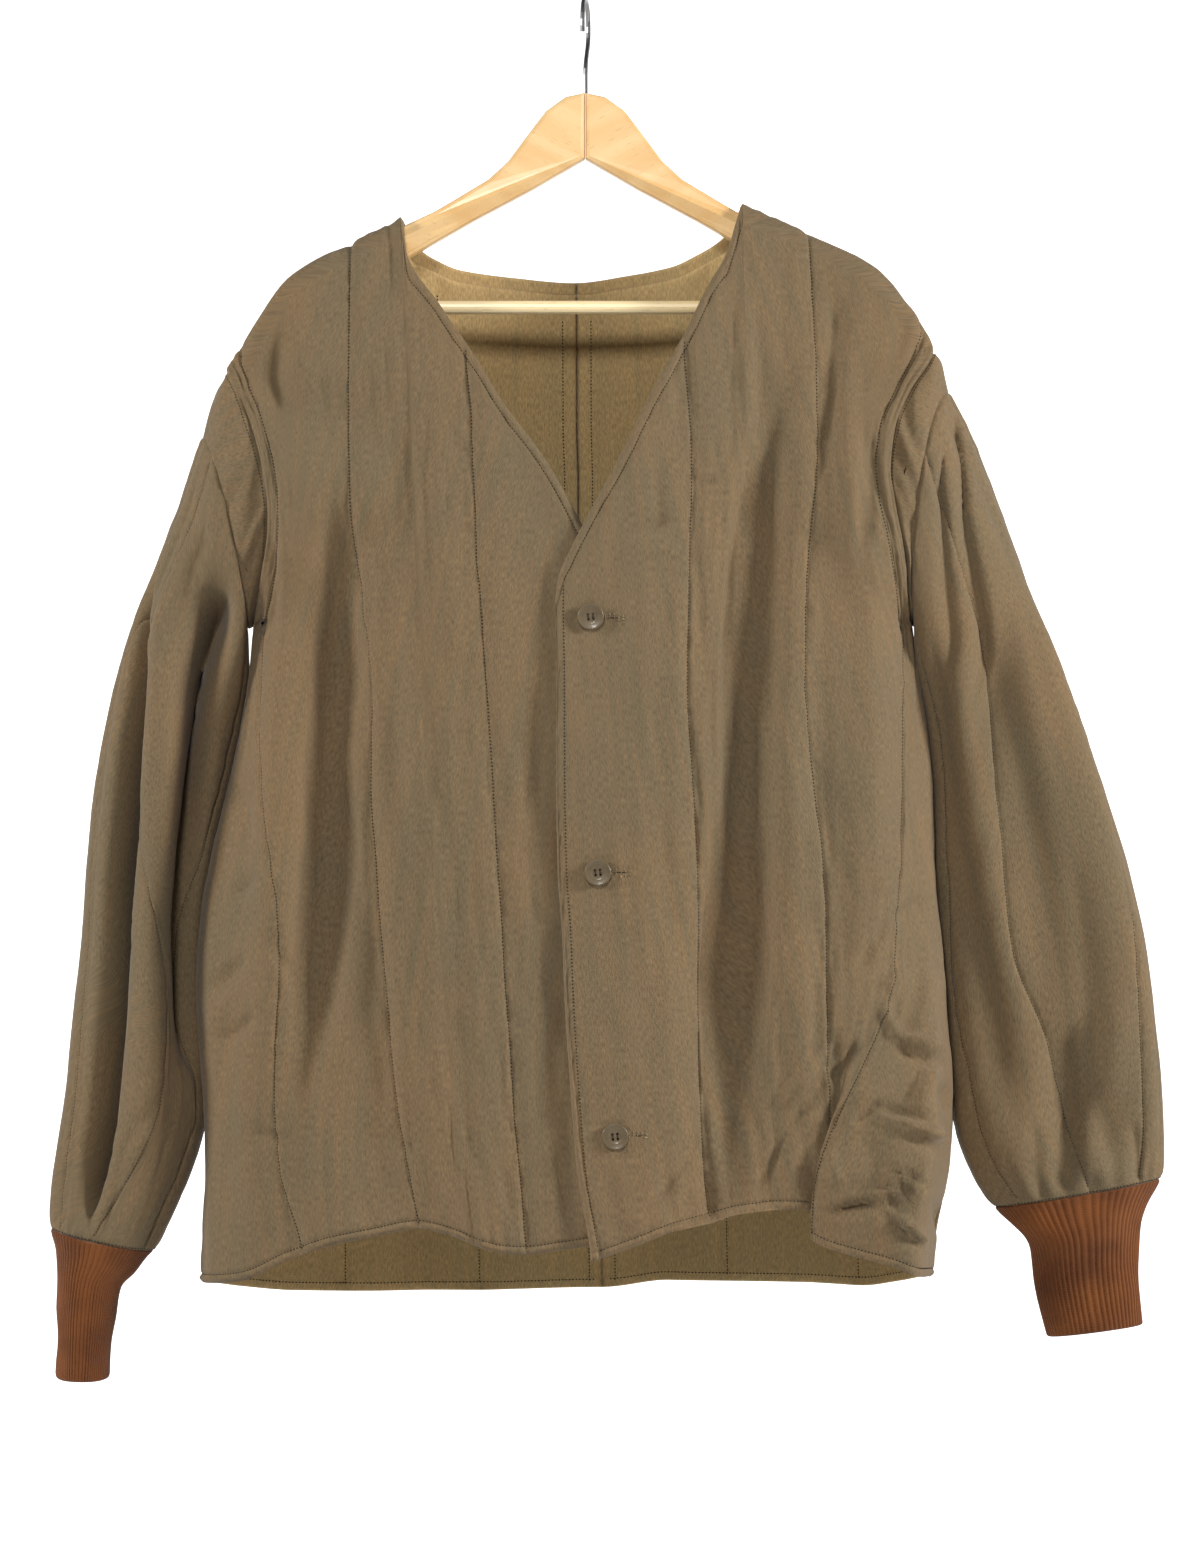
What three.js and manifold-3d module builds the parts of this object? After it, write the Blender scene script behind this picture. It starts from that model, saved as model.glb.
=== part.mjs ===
// A padded, collarless liner jacket hanging on a wooden clothes hanger.
//
// Millimetres, +Z up. The wearer's left is +X, the front faces -Y, and the origin is the point where a
// rail carries the hook. Heights are given as drops below that point, so z = -drop.
//
// Each cloth piece is a wall worked out from a table: a row for each section, a column for each sewn
// line. A front or back panel runs from its top edge down to its hem, a sleeve is a tube of rings.
import * as THREE from 'three';
import Module from 'manifold-3d';

const wasm = await Module();
wasm.setup();

// Cloth sizes
const CLOTH = 3; // wall at a quilting line
const PUFF = 2; // how far the padding stands up between two quilting lines
const LINING = 1.2; // lining wall
const SEAM_GAP = 0.3; // between two sewn pieces
const LAP_SET_BACK = 6.5; // the under front lies this far behind the top front
const ROOF_RADIUS = 16; // the cloth's bend over the hanger's arm
const CHEST_FRONT = 74; // growth of the front away from the shoulder line
const CHEST_BACK = 50;
const FRONT_FALL = 230; // drop over which that growth happens
const BACK_FALL = 200;
const ARMHOLE_DEPTH = 38; // half the armhole's depth, front to back
const UNDERARM = 446; // drop of the bottom of the armhole

// Hanger sizes
const ARM_THICK = 14;
const ARM_BEVEL = 3;
const ARM_SWEEP = 16; // the arms curve forward by this much at their ends
const ARM_HALF = 213;
const BAR_RADIUS = 4.8;
const BAR_DROP = 219.8;
const BAR_HALF = 175.6;
const WOOD_TOP = 66;
const WIRE_RADIUS = 1.7;
const HOOK_RADIUS = 18; // inside of the hook
const HOOK_TURN = 6; // degrees that the hook is turned from edge-on

// Button sizes
const BUTTON_RADIUS = 9.3;
const BUTTON_THICK = 3;
const BUTTON_HOLE = 1;
const BUTTON_HOLE_PITCH = 2;

// Sewn lines of the fronts: x at each drop, from the centre edge to the side seam.
const FRONT_LINES = ['edge', 'q1', 'neck', 'q2', 'q3', 'side'];
const RIGHT_FRONT = [
  // drop, edge, q1, neck, q2, q3, side
  [160, 26, -84, -130, -166, -246, -256],
  [255, 26, -84, -126, -167, -244, -256],
  [280, 26, -82, -124, -167, -237, -246],
  [300, 26, -80, -123, -167, -229, -238],
  [335, 26, -79, -122, -166, -219, -228],
  [365, 26, -77, -120, -165, -215, -224],
  [400, 26, -76, -119, -163, -217, -226],
  [430, 26, -73, -117, -161, -222, -230],
  [460, 27, -71, -115, -159, -225, -235],
  [500, 29, -68, -113, -157, -226, -241],
  [560, 30, -64, -109, -155, -223, -254],
  [610, 31, -61, -105, -149, -217, -266],
  [650, 34, -58, -102, -146, -214, -273],
  [690, 36, -56, -99, -142, -214, -276],
  [740, 38, -52, -95, -137, -217, -274],
  [790, 41, -49, -90, -130, -218, -271],
  [830, 44, -45, -86, -122, -214, -270],
  [880, 49, -41, -78, -113, -199, -273],
  [930, 52, -37, -72, -107, -190, -275],
];
const LEFT_FRONT = [
  // drop, edge, q1, neck, q2, q3, side
  [140, -21, 70, 111, 157, 238, 250],
  [237, -21, 70, 112, 162, 238, 250],
  [253, -21, 70, 112, 163, 233, 247],
  [281, -21, 72, 112, 164, 219, 230],
  [307, -21, 74, 113, 164, 208, 219],
  [337, -21, 75, 113, 163, 204, 215],
  [360, -21, 75, 113, 161, 206, 217],
  [382, -21, 74, 113, 159, 211, 221],
  [430, -21, 73, 113, 156, 219, 229],
  [486, -20, 72, 114, 155, 223, 238],
  [556, -20, 76, 117, 161, 222, 245],
  [619, -19, 80, 121, 166, 219, 249],
  [661, -16, 82, 123, 168, 216, 253],
  [710, -14, 83, 125, 169, 214, 257],
  [785, -9, 85, 127, 171, 212, 261],
  [822, -6, 86, 130, 174, 211, 259],
  [850, -2, 88, 131, 176, 210, 255],
  [878, 3, 90, 133, 178, 209, 250],
  [930, 8, 92, 135, 180, 208, 246],
];

// Sewn lines of the back halves, from the centre back seam to the side seam.
const BACK_LINES = ['centre', 'b1', 'neck', 'b2', 'side'];
const RIGHT_BACK = [
  // drop, centre, b1, neck, b2, side
  [160, -7, -108, -130, -186, -256],
  [255, -6, -106, -130, -186, -256],
  [300, -6, -104, -130, -186, -247],
  [340, -5, -102, -129, -185, -239],
  [365, -5, -102, -129, -184, -236],
  [400, -4, -101, -128, -183, -233],
  [430, -3, -100, -127, -182, -232],
  [460, -3, -99, -127, -182, -235],
  [500, -2, -97, -126, -181, -241],
  [560, 0, -94, -125, -180, -254],
  [610, 1, -91, -123, -179, -266],
  [650, 2, -89, -122, -178, -273],
  [690, 3, -87, -121, -178, -276],
  [740, 5, -85, -119, -177, -274],
  [790, 7, -82, -117, -176, -271],
  [830, 9, -80, -115, -176, -270],
  [880, 11, -78, -113, -175, -273],
  [930, 12, -77, -112, -175, -275],
];
const LEFT_BACK = [
  // drop, centre, b1, neck, b2, side
  [140, -7, 89, 111, 180, 250],
  [237, -6, 90, 112, 180, 250],
  [281, -6, 90, 113, 180, 238],
  [307, -6, 91, 114, 181, 232],
  [337, -5, 91, 114, 181, 229],
  [382, -4, 92, 115, 182, 228],
  [430, -3, 93, 116, 183, 230],
  [486, -2, 94, 117, 184, 238],
  [556, 0, 95, 119, 186, 245],
  [619, 1, 96, 121, 188, 249],
  [661, 2, 98, 123, 190, 253],
  [710, 4, 99, 125, 192, 257],
  [785, 7, 101, 128, 195, 261],
  [822, 9, 102, 130, 196, 259],
  [850, 10, 103, 131, 197, 255],
  [878, 11, 103, 132, 198, 250],
  [930, 12, 104, 133, 199, 246],
];

// Edges as [x, drop], each from the wearer's right to the left. Necklines start or end at the neck's
// corners, on the shoulder line.
const NECK_RIGHT = -130;
const NECK_LEFT = 111;
const ROOF = [
  [-256, 266], [-247, 254], [-231, 230], [-210, 201], [-168, 177], [-130, 157], [0, 86],
  [111, 147], [150, 165], [192, 186], [214, 202], [227, 218], [241, 238], [250, 256],
];
const RIGHT_FRONT_NECK = [
  [-130, 157], [-126, 184], [-104, 218], [-78, 257], [-58, 290], [-29, 329], [-4, 373], [14, 408],
  [26, 437],
];
const LEFT_FRONT_NECK = [
  [-21, 431], [-18, 412], [-11, 396], [-1, 376], [23, 332], [44, 288], [70, 241], [86, 208],
  [100, 183], [107, 160], [111, 147],
];
const BACK_NECK = [
  [-130, 157], [-120, 174], [-108, 182], [-90, 189], [-49, 194], [-9, 197], [31, 192], [63, 186],
  [79, 179], [95, 170], [105, 160], [111, 147],
];
const RIGHT_FRONT_HEM = [
  [-276, 914], [-241, 908], [-210, 893], [-178, 881], [-147, 874], [-115, 868], [-94, 872],
  [-74, 880], [-56, 885], [-41, 886], [-18, 883], [8, 881], [52, 882],
];
const LEFT_FRONT_HEM = [
  [6, 890], [34, 880], [61, 870], [88, 864], [108, 858], [146, 855], [177, 862], [209, 876],
  [220, 884], [232, 893], [240, 902], [247, 910],
];
const BACK_HEM = [
  [-276, 914], [-250, 920], [-212, 925], [-144, 927], [-77, 927], [-18, 925], [12, 925], [61, 920],
  [106, 920], [159, 920], [200, 921], [228, 916], [247, 910],
];

// Large soft folds of the body. A fold runs from (x, drop) to (x, drop), and raises the cloth by its
// height, or sinks it where the height is negative.
const BODY_FOLDS = [
  // x0, drop0, x1, drop1, width, height
  { name: 'right front valley', x0: -170, drop0: 420, x1: -192, drop1: 720, width: 15, height: -15 },
  { name: 'right front bulge', x0: -205, drop0: 480, x1: -232, drop1: 800, width: 24, height: 8 },
  { name: 'right shoulder valley', x0: -224, drop0: 205, x1: -216, drop1: 300, width: 9, height: -6 },
  { name: 'left front valley', x0: 132, drop0: 300, x1: 104, drop1: 780, width: 14, height: -13 },
  { name: 'left front ridge', x0: 158, drop0: 300, x1: 138, drop1: 800, width: 16, height: 6 },
  { name: 'left shoulder valley', x0: 176, drop0: 215, x1: 172, drop1: 330, width: 9, height: -6 },
];
const BACK_FOLDS = [
  { name: 'right blade fold', x0: -150, drop0: 330, x1: -120, drop1: 860, width: 22, height: 10 },
  { name: 'left blade fold', x0: 140, drop0: 330, x1: 60, drop1: 860, width: 22, height: 9 },
  { name: 'centre fold', x0: -40, drop0: 480, x1: -30, drop1: 900, width: 24, height: -9 },
];

// The left front's side is folded over itself at the hem: it starts at one drop and is full at another.
const FLAP = {
  start: 690, full: 850, across: -52, forward: -28, tilt: -14, from: 3.1, top: 4.05, side: 4.7,
};

// Sleeve sections: outer point, inner point, half depth in front and behind, and where the middle lies.
const RIGHT_SLEEVE = [
  // outX, outDrop, inX, inDrop, front, back, middle, scoop
  [-274, 311, -243, 447, 40, 40, 0, 9],
  [-289, 356, -243, 482, 44, 44, 9, 7],
  [-304, 391, -246, 512, 47, 47, 17, 4],
  [-321, 437, -251, 545, 49, 49, 21, 0],
  [-334, 479, -258, 577, 50, 50, 22, 0],
  [-345, 524, -266, 612, 50, 50, 23, 0],
  [-352, 570, -273, 647, 49, 49, 23, 0],
  [-356, 615, -276, 682, 48, 48, 23, 0],
  [-360, 668, -275, 720, 47, 47, 23, 0],
  [-365, 720, -273, 755, 46, 46, 22, 0],
  [-371, 773, -272, 790, 44, 44, 20, 0],
  [-376, 815, -279, 822, 41, 41, 15, 0],
  [-380, 850, -292, 856, 37, 37, 9, 0],
  [-381, 876, -309, 892, 33, 33, 5, 0],
];
const LEFT_SLEEVE = [
  // outX, outDrop, inX, inDrop, front, back, middle, scoop
  [260, 279, 240, 447, 40, 40, 0, 16],
  [275, 307, 240.5, 478, 44, 44, 9, 12],
  [293, 351, 244, 508, 47, 47, 16, 6],
  [309, 395, 247, 542, 48, 48, 20, 0],
  [326, 439, 249, 577, 49, 49, 22, 0],
  [343, 482, 249, 612, 49, 49, 22, 0],
  [359, 526, 252, 643, 48, 48, 22, 0],
  [374, 572, 254, 675, 47, 47, 22, 0],
  [388, 619, 257, 706, 46, 46, 22, 0],
  [400, 671, 259, 738, 44, 44, 21, 0],
  [407, 724, 261, 769, 41, 41, 19, 0],
  [411, 769, 264, 801, 36, 36, 14, 0],
  [412, 808, 276, 836, 29, 29, 8, 0],
  [410, 841, 293, 861, 22, 22, 4, 0],
];
const RIGHT_CUFF = [
  // outX, outDrop, inX, inDrop, front, back, middle, scoop
  [-381, 876, -309, 892, 33, 33, 5, 0],
  [-377, 891, -321, 906, 31, 31, 4, 0],
  [-376, 910, -333, 919, 29, 29, 3, 0],
  [-377, 938, -337, 942, 27, 27, 2, 0],
  [-377, 982, -341, 983, 27, 27, 2, 0],
];
const LEFT_CUFF = [
  // outX, outDrop, inX, inDrop, front, back, middle, scoop
  [410, 841, 293, 861, 22, 22, 4, 0],
  [401, 858, 306, 875, 20, 20, 3, 0],
  [396, 876, 317, 889, 18, 18, 2, 0],
  [395, 902, 321, 914, 16, 16, 1, 0],
  [398, 944, 330, 953, 15, 15, 0, 0],
];

// Quilting lines round a sleeve, in degrees from its outer edge: front is positive, 180 is the seam.
const RIGHT_SLEEVE_LINES = [
  // station, outer, middle, inner
  [0, 8, 42, 150],
  [3, 18, 50, 150],
  [6, 24, 88, 150],
  [8, 30, 116, 152],
  [10, 34, 110, 152],
  [13, 40, 84, 145],
];
const LEFT_SLEEVE_LINES = [
  // station, outer, middle, inner
  [0, 4, 66, 140],
  [3, 8, 84, 145],
  [6, 14, 99, 150],
  [8, 30, 105, 156],
  [10, 41, 92, 145],
  [13, 45, 85, 132],
];
const BACK_SLEEVE_LINES = [-145, -95, -45];

// Folds along a sleeve: [station, degrees] down the fold's line, its widths in degrees on the side of
// the outer edge and on the other side, and its height. A valley with a narrow side is a steep pleat.
const RIGHT_SLEEVE_FOLDS = [
  {
    name: 'long valley', outer: 18, inner: 7, height: -16,
    path: [[1.4, 12], [2.2, 20], [3.5, 56], [4.4, 67], [5.8, 78], [8.5, 78], [10.2, 75], [12.9, 78]],
  },
  {
    name: 'middle ridge', outer: 12, inner: 13, height: 6,
    path: [[1, 50], [2.3, 58], [3.6, 78], [5, 91], [6.6, 100], [8.2, 99], [12, 100]],
  },
  {
    name: 'inner valley', outer: 15, inner: 11, height: -12,
    path: [[0.2, 112], [1.9, 98], [3.5, 112], [4.9, 127], [6.6, 138], [9.6, 146]],
  },
  { name: 'back valley', outer: 15, inner: 15, height: -12, path: [[2, -60], [12.5, -75]] },
  { name: 'back fold', outer: 14, inner: 14, height: -8, path: [[1, -112], [11, -120]] },
];
const LEFT_SLEEVE_FOLDS = [
  { name: 'top pleat', outer: 8, inner: 14, height: -8, path: [[0.2, 10], [1.2, 40], [1.7, 62], [3.6, 88]] },
  { name: 'second pleat', outer: 9, inner: 12, height: -6, path: [[0.4, 52], [1.5, 88], [2.6, 106]] },
  {
    name: 'inner valley', outer: 13, inner: 16, height: -9,
    path: [[1.2, 122], [3.5, 134], [6, 132], [9, 124], [11.6, 118]],
  },
  { name: 'wrist valley', outer: 7, inner: 10, height: -7, path: [[9.6, 82], [11.2, 86], [13, 98]] },
  { name: 'wrist ridge', outer: 12, inner: 9, height: 5, path: [[9.4, 54], [10.8, 66], [11.6, 78], [12.9, 84]] },
  { name: 'back valley', outer: 15, inner: 15, height: -12, path: [[1, -60], [12, -75]] },
  { name: 'back fold', outer: 14, inner: 14, height: -8, path: [[1, -112], [11, -122]] },
];

// Buttons: [x, drop], on the wearer's left front.
const BUTTONS = [[4, 442], [9, 620], [21, 803]];

const clamp = (value, low, high) => Math.min(high, Math.max(low, value));
const mix = (a, b, share) => a + (b - a) * share;
const radians = (degrees) => (degrees * Math.PI) / 180;

function smoothstep(low, high, value) {
  const share = clamp((value - low) / (high - low), 0, 1);
  return share * share * (3 - 2 * share);
}

// A smooth curve through [x, y] pairs that never overshoots them.
function curveThrough(pairs) {
  const count = pairs.length;
  const steps = [];
  for (let i = 0; i < count - 1; i++) {
    steps.push((pairs[i + 1][1] - pairs[i][1]) / (pairs[i + 1][0] - pairs[i][0]));
  }
  const slopes = pairs.map((pair, i) => {
    if (i === 0) return steps[0];
    if (i === count - 1) return steps[count - 2];
    if (steps[i - 1] * steps[i] <= 0) return 0;
    return (2 * steps[i - 1] * steps[i]) / (steps[i - 1] + steps[i]);
  });
  return (x) => {
    const at = clamp(x, pairs[0][0], pairs[count - 1][0]);
    let i = 0;
    while (i < count - 2 && at > pairs[i + 1][0]) i++;
    const [x0, y0] = pairs[i];
    const [x1, y1] = pairs[i + 1];
    const width = x1 - x0;
    const t = (at - x0) / width;
    const rise = y1 - y0;
    const a = slopes[i] * width - rise;
    const b = rise - slopes[i + 1] * width;
    return y0 + rise * t + t * (1 - t) * (a * (1 - t) + b * t);
  };
}

// One curve for each column of a table whose first column is its key.
function columns(rows, first = 1) {
  return rows[0].slice(first).map((_, i) => curveThrough(rows.map((row) => [row[0], row[i + first]])));
}

const rightFront = columns(RIGHT_FRONT);
const leftFront = columns(LEFT_FRONT);
const rightBack = columns(RIGHT_BACK);
const leftBack = columns(LEFT_BACK);
leftBack[0] = rightBack[0]; // one centre back seam
const roof = curveThrough(ROOF);
// A panel's top edge: its neckline, and the shoulder line beyond the neck's corners.
function topEdge(neckline) {
  const curve = curveThrough(neckline);
  const first = neckline[0][0] + (neckline[0][0] === NECK_RIGHT ? 0 : -100);
  const last = neckline[neckline.length - 1][0] + (neckline[neckline.length - 1][0] === NECK_LEFT ? 0 : 100);
  return (x) => (x < first || x > last ? roof(x) : curve(x));
}

const SIDE_COLUMN = FRONT_LINES.indexOf('side');
const BACK_SIDE_COLUMN = BACK_LINES.indexOf('side');

// The middle plane, where the front and the back meet: it follows the hanger's arms, and hangs straight
// further down.
const seamY = (x, drop) => ridgeY(x) * Math.exp(-Math.max(0, drop - roof(x)) / 90);
const ridgeY = (x) => -ARM_SWEEP * clamp(Math.abs(x) / ARM_HALF, 0, 1) ** 2;

// How far the cloth stands from the hanger's middle plane at x and drop: a bend over the arm, then a fall
// that widens towards the hem and closes round to the side seams.
function standOff(x, drop, growth, fall, rightSide, leftSide, edgeDepth) {
  const below = Math.max(0, drop - roof(x));
  const bend = ROOF_RADIUS * Math.sqrt(1 - (1 - clamp(below / ROOF_RADIUS, 0, 1)) ** 2);
  const grown = growth * (1 - Math.exp(-Math.max(0, below - ROOF_RADIUS / 2) / fall));
  const middle = (rightSide + leftSide) / 2;
  const across = clamp(Math.abs(x - middle) / ((leftSide - rightSide) / 2), 0, 1);
  const closing = Math.sqrt(1 - across ** 2.6);
  const bendClosing = Math.sqrt(1 - across ** 10);
  return edgeDepth + Math.max(0, bend - edgeDepth * closing) * bendClosing * (edgeDepth > 0 ? closing : 1)
    + Math.max(0, grown - edgeDepth * 0.5) * closing;
}

function armholeShare(drop, top) {
  return clamp((drop - top) / (UNDERARM - top), 0, 1);
}

// The drop at which a sewn line meets an edge.
function meetEdge(line, edge, low, high) {
  let from = low;
  let to = high;
  for (let i = 0; i < 40; i++) {
    const middle = (from + to) / 2;
    if (middle < edge(line(middle))) from = middle;
    else to = middle;
  }
  return (from + to) / 2;
}

const armholeTop = {
  right: meetEdge(rightFront[SIDE_COLUMN], roof, 200, 300),
  left: meetEdge(leftFront[SIDE_COLUMN], roof, 200, 300),
};

function armholeDepth(drop, side) {
  return ARMHOLE_DEPTH * Math.sin(Math.PI * armholeShare(drop, armholeTop[side])) ** 0.65;
}

function foldHeight(folds, x, drop) {
  return folds.reduce((sum, fold) => {
    const along = (drop - fold.drop0) / (fold.drop1 - fold.drop0);
    const centre = mix(fold.x0, fold.x1, along);
    const window = smoothstep(-0.25, 0.2, along) * (1 - smoothstep(0.75, 1.25, along));
    return sum + fold.height * window * Math.exp(-(((x - centre) / fold.width) ** 2));
  }, 0);
}

// A point of the body's front, before the padding: -Y is out.
function frontPoint(x, drop, side) {
  const edge = armholeDepth(drop, side) * smoothstep(60, 200, Math.abs(x));
  const off = standOff(x, drop, CHEST_FRONT, FRONT_FALL,
    rightFront[SIDE_COLUMN](drop), leftFront[SIDE_COLUMN](drop), edge);
  const fold = foldHeight(BODY_FOLDS, x, drop) * smoothstep(10, 60, drop - roof(x));
  return new THREE.Vector3(x, seamY(x, drop) - off - fold, -drop);
}

function backPoint(x, drop, side) {
  const edge = armholeDepth(drop, side) * smoothstep(60, 200, Math.abs(x));
  const off = standOff(x, drop, CHEST_BACK, BACK_FALL,
    rightBack[BACK_SIDE_COLUMN](drop), leftBack[BACK_SIDE_COLUMN](drop), edge);
  const fold = foldHeight(BACK_FOLDS, x, drop) * smoothstep(10, 60, drop - roof(x));
  return new THREE.Vector3(x, seamY(x, drop) + off + fold, -drop);
}

// Shares across a panel: whole numbers are sewn lines. Cells close up towards the neck's corner, where
// the channel before it ends, and towards the side seam.
const NECK_STEPS = [0.5, 0.86, 0.97, 1];
function acrossShares(cells) {
  const shares = [0];
  cells.forEach((count, channel) => {
    if (channel === 1) NECK_STEPS.forEach((step) => shares.push(channel + step));
    else {
      for (let i = 1; i <= count; i++) {
        const last = channel === cells.length - 1;
        shares.push(channel + (last ? Math.sin((i / count) * Math.PI * 0.5) : i / count));
      }
    }
  });
  return shares;
}

function lineX(lines, share, drop) {
  const channel = Math.min(lines.length - 2, Math.floor(share));
  return mix(lines[channel](drop), lines[channel + 1](drop), share - channel);
}

// Drops down a column: close together where the cloth bends over the hanger, then down to the level of
// the underarm, then down to the hem.
const BEND_ROWS = [0, 0.13, 0.5, 1];
const CHEST_ROWS = 8;
const LOWER_ROWS = 12;
const CHEST_SHARE = 0.27; // of a column's length, except at the side
const UNDERARM_ROW = BEND_ROWS.length - 1 + CHEST_ROWS;

function downShares(top, bottom, sideShare) {
  const bent = BEND_ROWS.map((share) => top + share * ROOF_RADIUS);
  const start = top + ROOF_RADIUS;
  const level = mix(top + CHEST_SHARE * (bottom - top), UNDERARM, sideShare);
  for (let i = 1; i <= CHEST_ROWS; i++) {
    bent.push(mix(start, level, Math.sin((i / CHEST_ROWS) * Math.PI * 0.5)));
  }
  for (let i = 1; i <= LOWER_ROWS; i++) bent.push(mix(level, bottom, i / LOWER_ROWS));
  return bent;
}

// How far the padding stands up at a share across a panel.
function padding(share, flatLines = []) {
  const fraction = share - Math.floor(share);
  const channel = Math.floor(share);
  let low = channel;
  let high = channel + 1;
  if (flatLines.includes(low)) low -= 1;
  if (flatLines.includes(high) && fraction > 0) high += 1;
  const t = (share - low) / (high - low);
  return PUFF * Math.abs(Math.sin(Math.PI * t)) ** 0.6;
}

// The outward direction at the armhole's edge, shared by the panels and the band.
function armholeNormal(angle, out) {
  const up = Math.cos(angle);
  return new THREE.Vector3(
    out * (0.15 + (up > 0 ? 0.45 * up : -0.85 * up)), -Math.sin(angle), up > 0 ? 0.85 * up : 0,
  ).normalize();
}

// A grid of points with outward normals, turned into a closed wall.
function wall(grid, inner, round = false) {
  const rows = grid.length;
  const count = grid[0].length;
  const positions = [];
  grid.forEach((row) => row.forEach(({ point, normal, out, seam }) => {
    positions.push(...point.clone().addScaledVector(normal, out));
    const under = point.clone().addScaledVector(normal, -inner);
    if (seam && (under.y - seam.y) * seam.turn < SEAM_GAP / 2) under.y = seam.y + (seam.turn * SEAM_GAP) / 2;
    positions.push(...under);
  }));
  const outer = (j, i) => 2 * (j * count + (i % count));
  const under = (j, i) => outer(j, i) + 1;
  const faces = [];
  const quad = (a, b, c, d) => faces.push(a, b, c, a, c, d);
  const across = round ? count : count - 1;
  for (let j = 0; j < rows - 1; j++) {
    for (let i = 0; i < across; i++) {
      quad(outer(j, i), outer(j + 1, i), outer(j + 1, i + 1), outer(j, i + 1));
      quad(under(j, i), under(j, i + 1), under(j + 1, i + 1), under(j + 1, i));
    }
  }
  for (let i = 0; i < across; i++) {
    quad(outer(0, i), outer(0, i + 1), under(0, i + 1), under(0, i));
    quad(outer(rows - 1, i + 1), outer(rows - 1, i), under(rows - 1, i), under(rows - 1, i + 1));
  }
  if (!round) {
    for (let j = 0; j < rows - 1; j++) {
      quad(outer(j + 1, 0), outer(j, 0), under(j, 0), under(j + 1, 0));
      quad(outer(j, count - 1), outer(j + 1, count - 1), under(j + 1, count - 1), under(j, count - 1));
    }
  }
  const geometry = new THREE.BufferGeometry();
  geometry.setAttribute('position', new THREE.Float32BufferAttribute(positions, 3));
  geometry.setIndex(faces);
  return geometry;
}

// Turns a geometry's faces round if its volume comes out negative.
function facingOut(geometry) {
  const p = geometry.getAttribute('position');
  const index = geometry.getIndex().array;
  const at = (i) => new THREE.Vector3().fromBufferAttribute(p, i);
  let volume = 0;
  for (let i = 0; i < index.length; i += 3) {
    volume += at(index[i]).dot(at(index[i + 1]).cross(at(index[i + 2])));
  }
  if (volume < 0) {
    for (let i = 0; i < index.length; i += 3) {
      [index[i + 1], index[i + 2]] = [index[i + 2], index[i + 1]];
    }
  }
  return geometry;
}

function roofNormal(x) {
  return new THREE.Vector3(roof(x + 0.5) - roof(x - 0.5), 0, 1).normalize();
}

// A body panel: its grid of base points with normals, and the padding at each.
function panel({ lines, cells, top, hem, point, front, side, flatLines, shape }) {
  const out = side === 'right' ? -1 : 1;
  const turn = front ? -out : out;
  const shares = acrossShares(cells);
  const lastShare = cells.length;
  const place = (share, drop) => {
    const at = point(lineX(lines, clamp(share, 0, lastShare), drop), drop, side);
    if (shape) shape(at, share, drop);
    return at;
  };
  const grid = shares.map((share) => {
    const line = (drop) => lineX(lines, share, drop);
    const start = meetEdge(line, top, 130, 470);
    const end = meetEdge(line, hem, 840, 940);
    const onRoof = start < roof(line(start)) + 3;
    return downShares(start, end, smoothstep(lastShare - 1, lastShare, share)).map((drop, j) => {
      const low = Math.max(0, share - 0.02);
      const high = Math.min(lastShare, share + 0.02);
      const across = place(high, drop).sub(place(low, drop));
      const down = place(share, drop + 0.8).sub(place(share, drop - (onRoof && j < 2 ? 0.2 : 0.8)));
      let normal = across.cross(down).normalize().multiplyScalar(turn);
      if (onRoof && j === 0) normal = roofNormal(line(drop));
      if (share === lastShare) {
        const angle = Math.acos(1 - 2 * armholeShare(drop, armholeTop[side]));
        normal = armholeNormal(front ? angle : -angle, out);
      }
      const at = place(share, drop);
      if (share === lastShare || (onRoof && j === 0)) at.y += ((front ? -1 : 1) * SEAM_GAP) / 2;
      const seam = { y: seamY(at.x, drop), turn: front ? -1 : 1 };
      return { point: at, drop, normal, out: padding(share, flatLines), seam };
    });
  });
  const turned = grid[0].map((_, j) => grid.map((column) => column[j]));
  [turned[0], turned[turned.length - 1]].forEach((row) => row.forEach((cell) => {
    cell.out = 0;
  }));
  return turned;
}

function flapShape(at, share, drop) {
  const { from, top, side } = FLAP;
  const full = smoothstep(FLAP.start, FLAP.full, drop);
  const foldY = frontPoint(lineX(leftFront, top, drop), drop, 'left').y;
  if (share < top) {
    at.x += FLAP.across * full * smoothstep(from, top, share);
    at.y += FLAP.forward * Math.sqrt(full) * clamp((share - from) / (top - from), 0, 1);
  } else {
    const held = FLAP.forward + FLAP.tilt * (share - top) + foldY - at.y;
    at.x += FLAP.across * full * (1 - smoothstep(top, 5, share));
    at.y += held * Math.sqrt(full) * (1 - smoothstep(side, 5, share));
  }
}

function lapShape(at) {
  at.y += LAP_SET_BACK * smoothstep(-75, -28, at.x);
}

const FRONT_CELLS = [4, 4, 3, 5, 5];
const BACK_CELLS = [4, 4, 3, 5];
const NECK_LINE = [2]; // not a quilting line

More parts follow.
